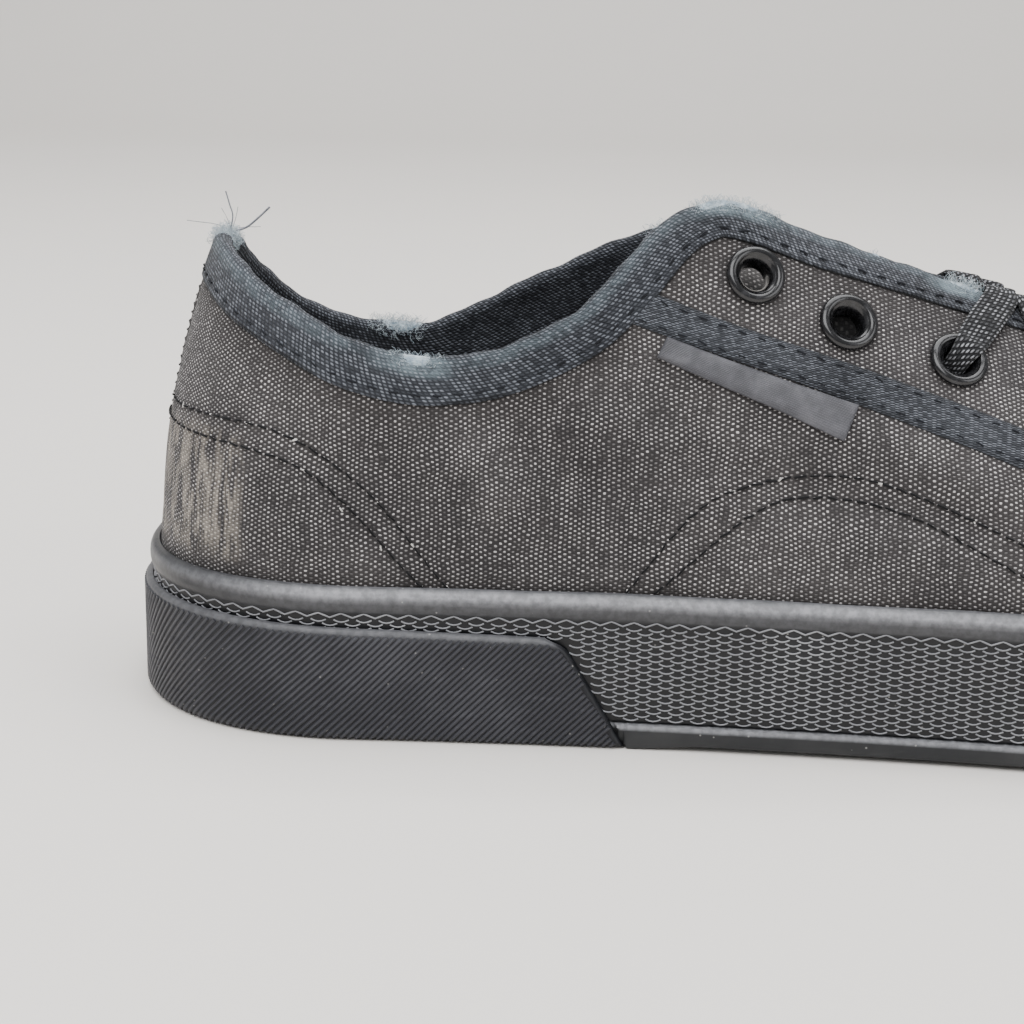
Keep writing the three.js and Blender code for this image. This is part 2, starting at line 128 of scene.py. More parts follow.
def spineX(u):
    return np.clip(xAt(u), last["heelFan"], last["toeFan"])


def rawOutline(u, side):
    x = xAt(u)
    cap = pick(side, last["toeCapLateral"], last["toeCapMedial"])
    heel = np.clip((last["heelCap"] - x) / (last["heelCap"] - last["heelX"]), 0, 1)
    toe = np.clip((x - cap) / (last["toeX"] - cap), 0, 1)
    taper = (1 - heel ** 2.25) ** (1 / 2.25) * (1 - toe ** 2.15) ** (1 / 2.15)
    half = pick(side, halfLateral(x), halfMedial(x))
    return x, centreY(x) + np.sign(side) * half * taper


def outline(u, side, out, z):
    u, side, out, z = np.broadcast_arrays(*(np.asarray(v, float) for v in (u, side, out, z)))
    x, y = rawOutline(u, side)
    ax, ay = rawOutline(np.clip(u - 1e-4, 0, 1), side)
    bx, by = rawOutline(np.clip(u + 1e-4, 0, 1), side)
    span = np.hypot(bx - ax, by - ay)
    nx = -(by - ay) / span * np.sign(side)
    ny = (bx - ax) / span * np.sign(side)
    nx = np.where(u < 1e-6, -1, np.where(u > 1 - 1e-6, 1, nx))
    ny = np.where((u < 1e-6) | (u > 1 - 1e-6), 0, ny)
    return np.stack([x + nx * out, y + ny * out, z], -1)


def lastPoint(u, side, angle, ridge=ridgeHeight, inset=0.0):
    edge = outline(u, side, -inset, 0)
    cx = spineX(u)
    cy = centreY(cx)
    base = last["feather"] + spring(xAt(u))
    reach = np.clip(np.cos(angle), 0, 1) ** (2 / reachPower(cx))
    rise = np.clip(np.sin(angle), 0, 1) ** (2 / risePower(cx))
    top = ridge(cx) - inset
    return np.stack([cx + (edge[..., 0] - cx) * reach, cy + (edge[..., 1] - cy) * reach,
                     base + (top - base) * rise], -1)


def angleAtSpan(u, side, span, inset=0.0):
    cx = spineX(u)
    edge = outline(u, side, -inset, 0)
    reach = np.clip(span / np.abs(edge[..., 1] - centreY(cx)), 0, 1)
    return np.arccos(reach ** (reachPower(cx) / 2))


def columnAngle(u, z):
    cx = spineX(u)
    base = last["feather"] + spring(xAt(u))
    rise = np.clip((z - base) / (ridgeHeight(cx) - base), 0, 1)
    return np.arcsin(rise ** (risePower(cx) / 2))


def columnPoint(x, z, side):  # the place on the upper over the outline's x, at height z
    x, z, side = np.broadcast_arrays(*(np.asarray(v, float) for v in (x, z, side)))
    u = uAt(x)
    p = lastPoint(u, side, columnAngle(u, z))
    p[..., 2] = np.where(z < p[..., 2], z, p[..., 2])
    return p


def gapHalf(x, side):
    return pick(side, gapLateral(x), gapMedial(x))


def rimAngle(u, side):
    x = xAt(u)
    throat = angleAtSpan(u, side, gapHalf(x, side))
    peak = np.full_like(x, uAt(last["collarX"]))
    peakX = np.full_like(x, last["collarX"])
    peakZ = lastPoint(peak, side, angleAtSpan(peak, side, gapHalf(peakX, side)))[..., 2]
    edge = pick(side, collarLateral(x), collarMedial(x))
    lift = (peakZ - pick(side, collarLateral(peakX), collarMedial(peakX))) * smoothStep((x - 50) / 48)
    collar = columnAngle(u, edge + lift)
    return np.where(x >= last["throatX"] - 1e-6, np.pi / 2, np.where(x >= last["collarX"], throat, collar))


def fanTable(cx, fromX, toX):
    u = uAt(np.linspace(fromX, toX, 900))
    rows = []
    for side in (-1, 1):
        x, y = rawOutline(u, side)
        rows.append(np.stack([np.arctan2(y - centreY(cx), np.abs(x - cx)), np.hypot(x - cx, y - centreY(cx)),
                              x]))
    table = np.concatenate(rows, 1)
    return table[:, np.argsort(table[0])]


heelTable = fanTable(last["heelFan"], last["heelX"], last["heelFan"])
toeTable = fanTable(last["toeFan"], last["toeFan"], last["toeX"])


def levelAt(q):  # 1 on the upper's surface, more outside it
    x, y, z = q[..., 0], q[..., 1], q[..., 2]
    cx = np.clip(x, last["heelFan"], last["toeFan"])
    dy = y - centreY(cx)
    _, edgeY = rawOutline(uAt(cx), np.where(dy < 0, -1, 1))
    reach = np.abs(dy) / np.abs(edgeY - centreY(cx))
    footX = x
    for table, inside in ((heelTable, x < cx), (toeTable, x > cx)):
        turn = np.arctan2(dy, np.abs(x - cx))
        reach = np.where(inside, np.hypot(x - cx, dy) / np.interp(turn, table[0], table[1]), reach)
        footX = np.where(inside, np.interp(turn, table[0], table[2]), footX)
    base = last["feather"] + spring(footX)
    rise = np.clip((z - base) / (ridgeHeight(cx) - base), 0, None)
    return reach ** reachPower(cx) + rise ** risePower(cx)


def slopeAt(q, h=0.05):
    steps = np.eye(3) * h
    return np.stack([(levelAt(q + s) - levelAt(q - s)) / (2 * h) for s in steps], -1)


def unit(v):
    return v / np.maximum(np.linalg.norm(v, axis=-1, keepdims=True), 1e-12)


def dot(a, b):
    return np.sum(a * b, -1, keepdims=True)


def arcLength(line):  # the running length along a line
    return np.concatenate([[0], np.cumsum(np.linalg.norm(np.diff(line, axis=0), axis=-1))])

def distanceTo(line, points):
    return np.array([np.min(np.linalg.norm(line - p, axis=-1)) for p in points])

def smoothed(points, at, knots=None):  # a smooth curve through points, at places between their knots
    knots = np.arange(len(points), dtype=float) if knots is None else knots
    return np.stack([through(np.stack([knots, column], -1))(at) for column in points.T], -1)

def normalAt(q):
    return unit(slopeAt(q))


def settle(q):  # the nearest point of the upper's surface
    for _ in range(3):
        g = slopeAt(q)
        q = q - g * ((levelAt(q) - 1)[..., None] / np.maximum(dot(g, g), 1e-9))
    return q


def topPoint(x, y):
    q = np.stack(np.broadcast_arrays(np.asarray(x, float), np.asarray(y, float), 200.0), -1)
    cx = np.clip(q[..., 0], last["heelFan"], last["toeFan"])
    low, high = np.full(q.shape[:-1], 20.0), ridgeHeight(cx) + 1
    for _ in range(30):
        mid = (low + high) / 2
        outside = levelAt(np.stack([q[..., 0], q[..., 1], mid], -1)) > 1
        high, low = np.where(outside, mid, high), np.where(outside, low, mid)
    return np.stack([q[..., 0], q[..., 1], (low + high) / 2], -1)


# soft troughs and ridges that wear has left: side, points as (outline x, z), width, depth

creases = {
    "side": [
        (-1, [(58, 60), (66, 50), (80, 43)], 5.0, -1.1),
        (-1, [(70, 58), (86, 50), (104, 46)], 4.5, 0.65),
        (-1, [(98, 47), (112, 43.5), (128, 42), (142, 38)], 4.2, -1.3),
        (-1, [(122, 52), (136, 47), (150, 41)], 3.6, 0.75),
        (-1, [(24, 62), (32, 50), (44, 38)], 6.5, -0.8),
        (-1, [(60, 36), (84, 32), (104, 34)], 6.0, -0.5),
        (-1, [(40, 57), (52, 52), (66, 41)], 5.5, 0.65),
        (-1, [(176, 44), (190, 36), (204, 29)], 5.0, -1.0),
        (1, [(48, 55), (60, 47), (76, 41)], 5.5, -0.8),
        (1, [(96, 52), (114, 46), (136, 42)], 5.0, -0.8),
        (1, [(26, 58), (34, 46), (46, 36)], 6.5, -0.5),
        (1, [(70, 62), (92, 56), (112, 54)], 4.5, 0.65),
        (1, [(172, 42), (188, 34), (200, 29)], 5.0, -0.8),
    ],
    "vamp": [  # points as (x, y) from above
        ([(196, -40), (203, -22), (205, 2), (202, 24), (196, 38)], 4.2, -1.6),
        ([(206, -44), (213, -24), (215, 4), (212, 28), (205, 42)], 4.0, 0.9),
        ([(214, -46), (222, -24), (224, 5), (221, 30), (214, 45)], 4.6, -1.5),
        ([(228, -34), (236, -12), (237, 12), (233, 32)], 5.5, -0.8),
    ],
}


def creaseLines():
    lines = []
    for side, points, width, depth in creases["side"]:
        x, z = np.array(points, float).T
        lines.append((columnPoint(x, z, side), width, depth))
    for points, width, depth in creases["vamp"]:
        x, y = np.array(points, float).T
        lines.append((topPoint(x, y), width, depth))
    return lines


creasePaths = creaseLines()


def creaseAt(q):
    lift = np.zeros(q.shape[:-1])
    for line, width, depth in creasePaths:
        nearest = np.full(q.shape[:-1], 1e9)
        for a, b in zip(line[:-1], line[1:]):
            along = np.clip(np.sum((q - a) * (b - a), -1) / np.sum((b - a) ** 2), 0, 1)
            nearest = np.minimum(nearest, np.linalg.norm(q - a - along[..., None] * (b - a), axis=-1))
        lift += depth * np.exp(-(nearest / width) ** 2)
    x, y, z = q[..., 0], q[..., 1], q[..., 2]
    swell = np.sin(x / 9.1 + z / 7.3) + np.sin(x / 5.7 - z / 9.7 + 1.3) + np.sin(z / 5.1 + y / 8.3)
    calm = smoothStep((z - 26) / 7)  # the foxing holds the canvas flat
    return (lift + 0.09 * swell) * calm


def skin(q, lift=0.0):
    lift = np.asarray(lift, float)
    return q + normalAt(q) * (creaseAt(q) + lift)[..., None]


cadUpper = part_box("upper")
lateralEdge = rawOutline(np.linspace(0, 1, 2000), -1)[1].min()
shift = np.array([cadUpper[0].x * 1000 - last["heelX"], cadUpper[0].y * 1000 - lateralEdge, 0.0])


def placed(points):
    return (np.asarray(points, float) + shift) / 1000


def local(corner):
    return np.array(corner) * 1000 - shift


def quads(rows, cols, first):
    n = np.arange(rows * cols).reshape(rows, cols) + first
    return np.stack([n[:-1, :-1], n[1:, :-1], n[1:, 1:], n[:-1, 1:]], -1).reshape(-1, 4)


def meshOfGrids(name, grids, mergeMm=0.01, sharpDeg=60):
    points, uvs, faces, first = [], [], [], 0
    for grid, uv in grids:
        rows, cols = grid.shape[:2]
        points.append(grid.reshape(-1, 3))
        uvs.append((np.zeros((rows, cols, 2)) if uv is None else uv).reshape(-1, 2))
        faces.append(quads(rows, cols, first))
        first += rows * cols
    points, uvs, faces = np.concatenate(points), np.concatenate(uvs), np.concatenate(faces)
    mesh = bpy.data.meshes.new(name)
    mesh.from_pydata(placed(points).tolist(), [], faces.tolist())
    mesh.uv_layers.new(name="cloth").data.foreach_set("uv", uvs[faces.ravel()].ravel())
    bm = bmesh.new()
    bm.from_mesh(mesh)
    bmesh.ops.remove_doubles(bm, verts=bm.verts, dist=mergeMm / 1000)
    bmesh.ops.dissolve_degenerate(bm, edges=bm.edges, dist=1e-7)
    bmesh.ops.recalc_face_normals(bm, faces=bm.faces)
    bm.to_mesh(mesh)
    bm.free()
    mesh.shade_smooth()
    mesh.set_sharp_from_angle(angle=math.radians(sharpDeg))
    return mesh


def closedSheet(upper, under, uv=None, edgeUv=None):  # both faces, and strips that close the four edges
    parts = [(upper, uv), (under, uv)]
    for k in (0, -1):
        parts.append((np.stack([upper[k], under[k]]), None if edgeUv is None else np.stack([edgeUv[k]] * 2)))
    for k in (0, -1):
        side = np.stack([upper[:, k], under[:, k]])
        parts.append((side, None if edgeUv is None else np.stack([edgeUv[:, k]] * 2)))
    return parts

def joinMeshes(name, meshes):
    joined = bmesh.new()
    for mesh in meshes:
        joined.from_mesh(mesh)
    whole = bpy.data.meshes.new(name)
    joined.to_mesh(whole)
    joined.free()
    return whole

def addPiece(name, mesh, material, stands=()):
    piece = bpy.data.objects.new(name, mesh)
    bpy.context.scene.collection.objects.link(piece)
    mesh.materials.clear()
    mesh.materials.append(material)
    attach(piece, "root")
    if stands:
        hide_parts(*stands)
    return piece


def resample(line, step, closed=False):
    if closed:
        line = np.concatenate([line, line[:1]])
    length = arcLength(line)
    count = max(2, int(round(length[-1] / step)) + 1)
    at = np.linspace(0, length[-1], count)
    if closed:
        at = at[:-1]
    return np.stack([np.interp(at, length, line[:, k]) for k in range(3)], -1), length[-1]


def march(start, heading, reach, steps):  # rows of points going away from a line over the surface
    reach = np.broadcast_to(np.asarray(reach, float), start.shape[:1])
    rows, p, d = [start], start, heading
    for _ in range(steps):
        n = normalAt(p)
        d = unit(d - n * dot(n, d))
        p = settle(p + d * (reach / steps)[:, None])
        rows.append(p)
    return np.array(rows)


def pathFrame(line, closed):
    if closed:
        tangent = np.roll(line, -1, 0) - np.roll(line, 1, 0)
    else:
        tangent = np.gradient(line, axis=0)
    tangent = unit(tangent)
    normal = normalAt(line)
    return tangent, normal, unit(np.cross(normal, tangent))


def tone(r, g, b):
    linear = [c / 255 / 12.92 if c < 10.4 else ((c / 255 + 0.055) / 1.055) ** 2.4 for c in (r, g, b)]
    return tuple(linear) + (1.0,)


def addNode(tree, kind, inputs=None, **settings):
    made = tree.nodes.new(kind)
    for key, value in settings.items():
        setattr(made, key, value)
    for key, value in (inputs or {}).items():
        if isinstance(value, bpy.types.NodeSocket):
            tree.links.new(value, made.inputs[key])
        else:
            made.inputs[key].default_value = value
    return made


def calc(tree, operation, *values, clamp=False):
    made = addNode(tree, "ShaderNodeMath", dict(enumerate(values)), operation=operation, use_clamp=clamp)
    return made.outputs[0]


def blendColour(tree, share, a, b, kind="MIX"):
    made = addNode(tree, "ShaderNodeMix", {0: share, 6: a, 7: b}, data_type="RGBA", blend_type=kind)
    return made.outputs[2]


def between(tree, value, low, high, toLow=0.0, toHigh=1.0):
    made = addNode(tree, "ShaderNodeMapRange", {0: value, 1: low, 2: high, 3: toLow, 4: toHigh},
                   interpolation_type="SMOOTHSTEP")
    return made.outputs[0]


def shaderGroup(name, inputs, outputs):
    tree = bpy.data.node_groups.new(name, "ShaderNodeTree")
    for label, kind, value in inputs:
        made = tree.interface.new_socket(label, in_out="INPUT", socket_type="NodeSocket" + kind)
        if value is not None:
            made.default_value = value
    for label, kind in outputs:
        tree.interface.new_socket(label, in_out="OUTPUT", socket_type="NodeSocket" + kind)
    source = tree.nodes.new("NodeGroupInput")
    sink = tree.nodes.new("NodeGroupOutput")
    return tree, source.outputs, sink


def useGroup(tree, group, **values):
    made = tree.nodes.new("ShaderNodeGroup")
    made.node_tree = group
    for key, value in values.items():
        if isinstance(value, bpy.types.NodeSocket):
            tree.links.new(value, made.inputs[key])
        else:
            made.inputs[key].default_value = value
    return made.outputs


def makeWeaveGroup():
    tree, source, sink = shaderGroup(
        "plainWeave",
        [("Cloth", "Vector", None), ("Warp", "Float", 0.75), ("Weft", "Float", 0.4), ("Slub", "Float", 0.5)],
        [("Height", "Float"), ("Speck", "Float"), ("Shade", "Float")])
    wander = addNode(tree, "ShaderNodeTexNoise", {"Vector": source["Cloth"], "Scale": 0.22, "Detail": 1.0})
    drift = addNode(tree, "ShaderNodeVectorMath", {0: wander.outputs["Color"], 1: (0.5, 0.5, 0.5)},
                    operation="SUBTRACT")
    bent = addNode(tree, "ShaderNodeVectorMath",
                   {0: drift.outputs[0], 1: (1.1, 1.1, 0), 2: source["Cloth"]}, operation="MULTIPLY_ADD")
    parts = addNode(tree, "ShaderNodeSeparateXYZ", {0: bent.outputs[0]})
    u = calc(tree, "DIVIDE", parts.outputs[0], source["Warp"])
    v = calc(tree, "DIVIDE", parts.outputs[1], source["Weft"])
    column = calc(tree, "FLOOR", u)
    row = calc(tree, "FLOOR", v)
    over = calc(tree, "FLOORED_MODULO", calc(tree, "ADD", column, row), 2.0)
    acrossWarp = calc(tree, "SINE", calc(tree, "MULTIPLY", calc(tree, "FRACT", u), math.pi))
    acrossWeft = calc(tree, "SINE", calc(tree, "MULTIPLY", calc(tree, "FRACT", v), math.pi))
    upright = calc(tree, "MULTIPLY", calc(tree, "POWER", acrossWarp, 1.5),
                   calc(tree, "POWER", acrossWeft, 0.7))
    warpTop = calc(tree, "MULTIPLY", calc(tree, "SUBTRACT", 1.0, over), upright)
    weftTop = calc(tree, "MULTIPLY", calc(tree, "MULTIPLY", over,
                                          calc(tree, "MULTIPLY", acrossWarp, acrossWeft)), 0.5)
    cell = addNode(tree, "ShaderNodeCombineXYZ", {0: column, 1: row})
    chance = addNode(tree, "ShaderNodeTexWhiteNoise", {"Vector": cell.outputs[0]}, noise_dimensions="2D")
    yarn = addNode(tree, "ShaderNodeCombineXYZ", {0: calc(tree, "MULTIPLY", column, 3.7),
                                                  1: calc(tree, "MULTIPLY", parts.outputs[1], 0.16)})
    slub = addNode(tree, "ShaderNodeTexNoise", {"Vector": yarn.outputs[0], "Scale": 1.0, "Detail": 2.0})
    weftYarn = addNode(tree, "ShaderNodeCombineXYZ", {0: calc(tree, "MULTIPLY", parts.outputs[0], 0.12),
                                                   1: calc(tree, "MULTIPLY", row, 3.1)})
    weftSlub = addNode(tree, "ShaderNodeTexNoise", {"Vector": weftYarn.outputs[0], "Scale": 1.0,
                                                    "Detail": 2.0})
    streak = calc(tree, "MULTIPLY", calc(tree, "ADD", slub.outputs[0], weftSlub.outputs[0]), 0.5)
    shade = addNode(tree, "ShaderNodeMix", {0: source["Slub"], 2: chance.outputs[0],
                                            3: between(tree, streak, 0.36, 0.64)}, data_type="FLOAT")
    fuzz = addNode(tree, "ShaderNodeTexNoise", {"Vector": source["Cloth"], "Scale": 7.0, "Detail": 2.0})
    height = calc(tree, "ADD", calc(tree, "ADD", warpTop, weftTop),
                  calc(tree, "MULTIPLY", fuzz.outputs[0], 0.35))
    tree.links.new(height, sink.inputs["Height"])
    tree.links.new(between(tree, warpTop, 0.2, 0.8), sink.inputs["Speck"])
    tree.links.new(shade.outputs[0], sink.inputs["Shade"])
    return tree


def makeTwillGroup():
    tree, source, sink = shaderGroup(
        "twillWeave", [("Cloth", "Vector", None), ("Pitch", "Float", 0.8), ("Rise", "Float", 0.6)],
        [("Height", "Float"), ("Speck", "Float"), ("Shade", "Float")])
    parts = addNode(tree, "ShaderNodeSeparateXYZ", {0: source["Cloth"]})
    row = calc(tree, "FLOOR", calc(tree, "DIVIDE", parts.outputs[1], source["Rise"]))
    inRow = calc(tree, "FRACT", calc(tree, "DIVIDE", parts.outputs[1], source["Rise"]))
    lean = calc(tree, "MULTIPLY_ADD", row, 0.36, calc(tree, "MULTIPLY", inRow, 0.45))
    u = calc(tree, "ADD", calc(tree, "DIVIDE", parts.outputs[0], source["Pitch"]), lean)
    bulge = calc(tree, "MULTIPLY", calc(tree, "SINE", calc(tree, "MULTIPLY", calc(tree, "FRACT", u),
                                                           math.pi)),
                 calc(tree, "SINE", calc(tree, "MULTIPLY", inRow, math.pi)))
    cell = addNode(tree, "ShaderNodeCombineXYZ", {0: calc(tree, "FLOOR", u), 1: row})
    chance = addNode(tree, "ShaderNodeTexWhiteNoise", {"Vector": cell.outputs[0]}, noise_dimensions="2D")
    fuzz = addNode(tree, "ShaderNodeTexNoise", {"Vector": source["Cloth"], "Scale": 6.0, "Detail": 2.0})
    tree.links.new(calc(tree, "ADD", bulge, calc(tree, "MULTIPLY", fuzz.outputs[0], 0.4)),
                   sink.inputs["Height"])
    tree.links.new(between(tree, bulge, 0.2, 0.9), sink.inputs["Speck"])
    tree.links.new(chance.outputs[0], sink.inputs["Shade"])
    return tree


def makeFadeGroup():
    tree, source, sink = shaderGroup(
        "fadedPatches", [("Place", "Vector", None), ("Size", "Float", 60.0), ("Low", "Float", 0.4),
                         ("High", "Float", 0.65)], [("Mask", "Float")])
    patch = addNode(tree, "ShaderNodeTexNoise", {"Vector": source["Place"], "Scale": source["Size"],
                                                 "Detail": 3.0, "Roughness": 0.6})
    mask = addNode(tree, "ShaderNodeMapRange", {0: patch.outputs[0], 1: source["Low"], 2: source["High"]},
                   interpolation_type="SMOOTHSTEP")
    tree.links.new(mask.outputs[0], sink.inputs["Mask"])
    return tree


def makeDustGroup():
    tree, source, sink = shaderGroup(
        "dustAndScuffs", [("Place", "Vector", None), ("Specks", "Float", 900.0), ("Share", "Float", 0.06)],
        [("Specks", "Float"), ("Scuffs", "Float")])
    dots = addNode(tree, "ShaderNodeTexVoronoi", {"Vector": source["Place"], "Scale": source["Specks"]})
    inDot = between(tree, dots.outputs["Distance"], 0.2, 0.1)
    parts = addNode(tree, "ShaderNodeSeparateColor", {0: dots.outputs["Color"]})
    rare = calc(tree, "LESS_THAN", parts.outputs[0], source["Share"])
    tree.links.new(calc(tree, "MULTIPLY", inDot, rare), sink.inputs["Specks"])
    long = addNode(tree, "ShaderNodeMapping", {"Vector": source["Place"], "Scale": (160, 160, 900)})
    rub = addNode(tree, "ShaderNodeTexNoise", {"Vector": long.outputs[0], "Scale": 1.0, "Detail": 5.0})
    tree.links.new(between(tree, rub.outputs[0], 0.56, 0.72), sink.inputs["Scuffs"])
    return tree


weaveGroup = makeWeaveGroup()
twillGroup = makeTwillGroup()
fadeGroup = makeFadeGroup()
dustGroup = makeDustGroup()


def newMaterial(name, roughness=0.8, **constants):
    material = bpy.data.materials.new(name)
    material.use_nodes = True
    tree = material.node_tree
    shader = tree.nodes["Principled BSDF"]
    shader.inputs["Roughness"].default_value = roughness
    for key, value in constants.items():
        shader.inputs[key.replace("_", " ")].default_value = value
    place = tree.nodes.new("ShaderNodeTexCoord").outputs["Object"]
    cloth = tree.nodes.new("ShaderNodeUVMap")
    cloth.uv_map = "cloth"
    return material, tree, shader, place, cloth.outputs[0]


def bumpOf(tree, shader, height, distance, strength=1.0):
    made = addNode(tree, "ShaderNodeBump", {"Height": height, "Distance": distance, "Strength": strength})
    tree.links.new(made.outputs[0], shader.inputs["Normal"])


def clothMaterial(name, group, dark, pale, washed, threads, bump, wash=0.5, roughness=0.9, sheen=0.08,
                  sharp=1.0):
    material, tree, shader, place, cloth = newMaterial(name, roughness, Sheen_Weight=sheen,
                                                       Sheen_Roughness=0.5)
    shader.inputs["Specular IOR Level"].default_value = 0.18
    weave = useGroup(tree, group, Cloth=cloth, **threads)
    fade = useGroup(tree, fadeGroup, Place=place, Size=38.0, Low=0.36, High=0.68)["Mask"]
    fine = useGroup(tree, fadeGroup, Place=place, Size=210.0, Low=0.3, High=0.75)["Mask"]
    wornMask = calc(tree, "ADD", calc(tree, "MULTIPLY", fade, 0.65), calc(tree, "MULTIPLY", fine, 0.35))
    speck = calc(tree, "POWER", weave["Speck"], sharp)
    lit = calc(tree, "MULTIPLY", speck, between(tree, weave["Shade"], 0.0, 1.0, 0.1, 1.1))
    lit = calc(tree, "MULTIPLY", lit, calc(tree, "MULTIPLY_ADD", wornMask, wash, 1 - wash * 0.7))
    shaded = addNode(tree, "ShaderNodeAttribute", attribute_name="shade")
    colour = blendColour(tree, lit, dark, pale)
    colour = blendColour(tree, calc(tree, "MULTIPLY", wornMask, 0.26 * wash), colour, washed)
    colour = blendColour(tree, shaded.outputs["Fac"], colour, tone(8, 8, 9))
    bumpOf(tree, shader, weave["Height"], bump)
    return material, tree, shader, place, cloth, weave, colour


def makeCanvas():
    material, tree, shader, place, cloth, weave, colour = clothMaterial(
        "worn_canvas", weaveGroup, tone(42, 40, 41), tone(216, 212, 212), tone(116, 112, 111),
        {"Warp": 0.75, "Weft": 0.4, "Slub": 0.55}, 0.00024, wash=0.6)
    parts = addNode(tree, "ShaderNodeSeparateXYZ", {0: cloth})
    scrape = addNode(tree, "ShaderNodeAttribute", attribute_name="scrape")
    bars = addNode(tree, "ShaderNodeCombineXYZ", {0: calc(tree, "MULTIPLY", parts.outputs[0], 0.55),
                                                  1: calc(tree, "MULTIPLY", parts.outputs[1], 0.13)})
    rub = addNode(tree, "ShaderNodeTexNoise", {"Vector": bars.outputs[0], "Scale": 1.0, "Detail": 5.0,
                                               "Roughness": 0.65, "Distortion": 0.5})
    streak = calc(tree, "MULTIPLY", between(tree, rub.outputs[0], 0.4, 0.6), scrape.outputs["Fac"])
    broken = useGroup(tree, fadeGroup, Place=place, Size=190.0, Low=0.36, High=0.6)["Mask"]
    streak = calc(tree, "MULTIPLY", streak, calc(tree, "MULTIPLY_ADD", broken, 0.5, 0.5))
    caught = calc(tree, "MULTIPLY", streak, calc(tree, "MULTIPLY_ADD", weave["Speck"], 0.5, 0.45))
    colour = blendColour(tree, caught, colour, tone(186, 177, 165))
    # low: darker just above the foxing, painted shade under the collar tape, and the heel seam darker all over
    low = addNode(tree, "ShaderNodeAttribute", attribute_name="low")
    colour = blendColour(tree, calc(tree, "MULTIPLY", low.outputs["Fac"], 0.4), colour, tone(40, 37, 36))
    tree.links.new(colour, shader.inputs["Base Color"])
    return material


def makeTape(name, dark, pale, crestTone=None):
    material, tree, shader, place, cloth, weave, colour = clothMaterial(
        name, twillGroup, dark, pale, pale, {"Pitch": 0.8, "Rise": 0.55}, 0.0002, wash=0.5)
    if crestTone:
        worn = addNode(tree, "ShaderNodeAttribute", attribute_name="worn")
        torn = useGroup(tree, fadeGroup, Place=place, Size=620.0, Low=0.3, High=0.6)["Mask"]
        bare = calc(tree, "MULTIPLY", worn.outputs["Fac"], calc(tree, "MULTIPLY_ADD", torn, 0.6, 0.3))
        colour = blendColour(tree, bare, colour, crestTone)
        # edge: painted shade along the tape's edges, where the tape stands proud of the canvas
        edge = addNode(tree, "ShaderNodeAttribute", attribute_name="edge")
        colour = blendColour(tree, calc(tree, "MULTIPLY", edge.outputs["Fac"], 0.85), colour,
                             tone(14, 15, 18))
    tree.links.new(colour, shader.inputs["Base Color"])
    return material


def makePlainCloth(name, dark, pale, warp, weft, bump, wash=0.4):
    material, tree, shader, place, cloth, weave, colour = clothMaterial(
        name, weaveGroup, dark, pale, pale, {"Warp": warp, "Weft": weft, "Slub": 0.4}, bump, wash=wash)
    tree.links.new(colour, shader.inputs["Base Color"])
    return material


def makeRubber(name, base, scuff, roughness, dust=0.05, grain=0.00003):
    material, tree, shader, place, cloth = newMaterial(name, roughness)
    shader.inputs["Specular IOR Level"].default_value = 0.3
    marks = useGroup(tree, dustGroup, Place=place, Specks=900.0, Share=dust)
    patch = useGroup(tree, fadeGroup, Place=place, Size=45.0, Low=0.4, High=0.7)["Mask"]
    colour = blendColour(tree, calc(tree, "MULTIPLY", patch, 0.35), base, scuff)
    colour = blendColour(tree, calc(tree, "MULTIPLY", marks["Scuffs"], 0.22), colour, scuff)
    colour = blendColour(tree, calc(tree, "MULTIPLY", marks["Specks"], 0.5), colour, tone(150, 148, 145))
    # crest: painted highlight on the rubber, on the bead's upper half with rub wear, the bumper's top edge and
    # the outsole lip's top edge
    crest = addNode(tree, "ShaderNodeAttribute", attribute_name="crest").outputs["Fac"]
    mottle = useGroup(tree, fadeGroup, Place=place, Size=800.0, Low=0.3, High=0.7)["Mask"]
    colour = blendColour(tree, calc(tree, "MULTIPLY", crest, calc(tree, "MULTIPLY_ADD", mottle, 0.35, 0.5)),
                         colour, tone(184, 185, 190))
    tree.links.new(colour, shader.inputs["Base Color"])
    rough = calc(tree, "MULTIPLY_ADD", marks["Scuffs"], 0.2, calc(tree, "MULTIPLY_ADD", patch, 0.1,
                                                                  roughness))
    tree.links.new(rough, shader.inputs["Roughness"])
    fine = addNode(tree, "ShaderNodeTexNoise", {"Vector": place, "Scale": 1400.0, "Detail": 3.0})
    bumpOf(tree, shader, fine.outputs[0], grain)
    return material


def makeEnamel():
    material, tree, shader, place, cloth = newMaterial("black_enamel", 0.3, Metallic=0.55)
    shader.inputs["Coat Weight"].default_value = 0.5
    shader.inputs["Coat Roughness"].default_value = 0.12
    rub = useGroup(tree, fadeGroup, Place=place, Size=900.0, Low=0.45, High=0.75)["Mask"]
    colour = blendColour(tree, rub, tone(20, 20, 22), tone(40, 40, 43))
    tree.links.new(colour, shader.inputs["Base Color"])
    tree.links.new(calc(tree, "MULTIPLY_ADD", rub, 0.16, 0.24), shader.inputs["Roughness"])
    return material


def makeBraid():
    material, tree, shader, place, cloth, weave, colour = clothMaterial(
        "black_braid", twillGroup, tone(19, 20, 22), tone(150, 151, 156), tone(50, 51, 55),
        {"Pitch": 1.0, "Rise": 0.75}, 0.0003, wash=0.3, sharp=2.6)
    tree.links.new(colour, shader.inputs["Base Color"])
    return material


def makeFluff(name, base, pale):
    material, tree, shader, place, cloth = newMaterial(name, 1.0, Sheen_Weight=0.6, Sheen_Roughness=0.6)
    shader.inputs["Subsurface Weight"].default_value = 0.15
    shader.inputs["Subsurface Radius"].default_value = (0.0006, 0.0006, 0.0007)
    mixed = useGroup(tree, fadeGroup, Place=place, Size=700.0, Low=0.35, High=0.7)["Mask"]
    tree.links.new(blendColour(tree, mixed, base, pale), shader.inputs["Base Color"])
    fine = addNode(tree, "ShaderNodeTexNoise", {"Vector": place, "Scale": 2600.0, "Detail": 4.0})
    bumpOf(tree, shader, fine.outputs[0], 0.0003)
    return material


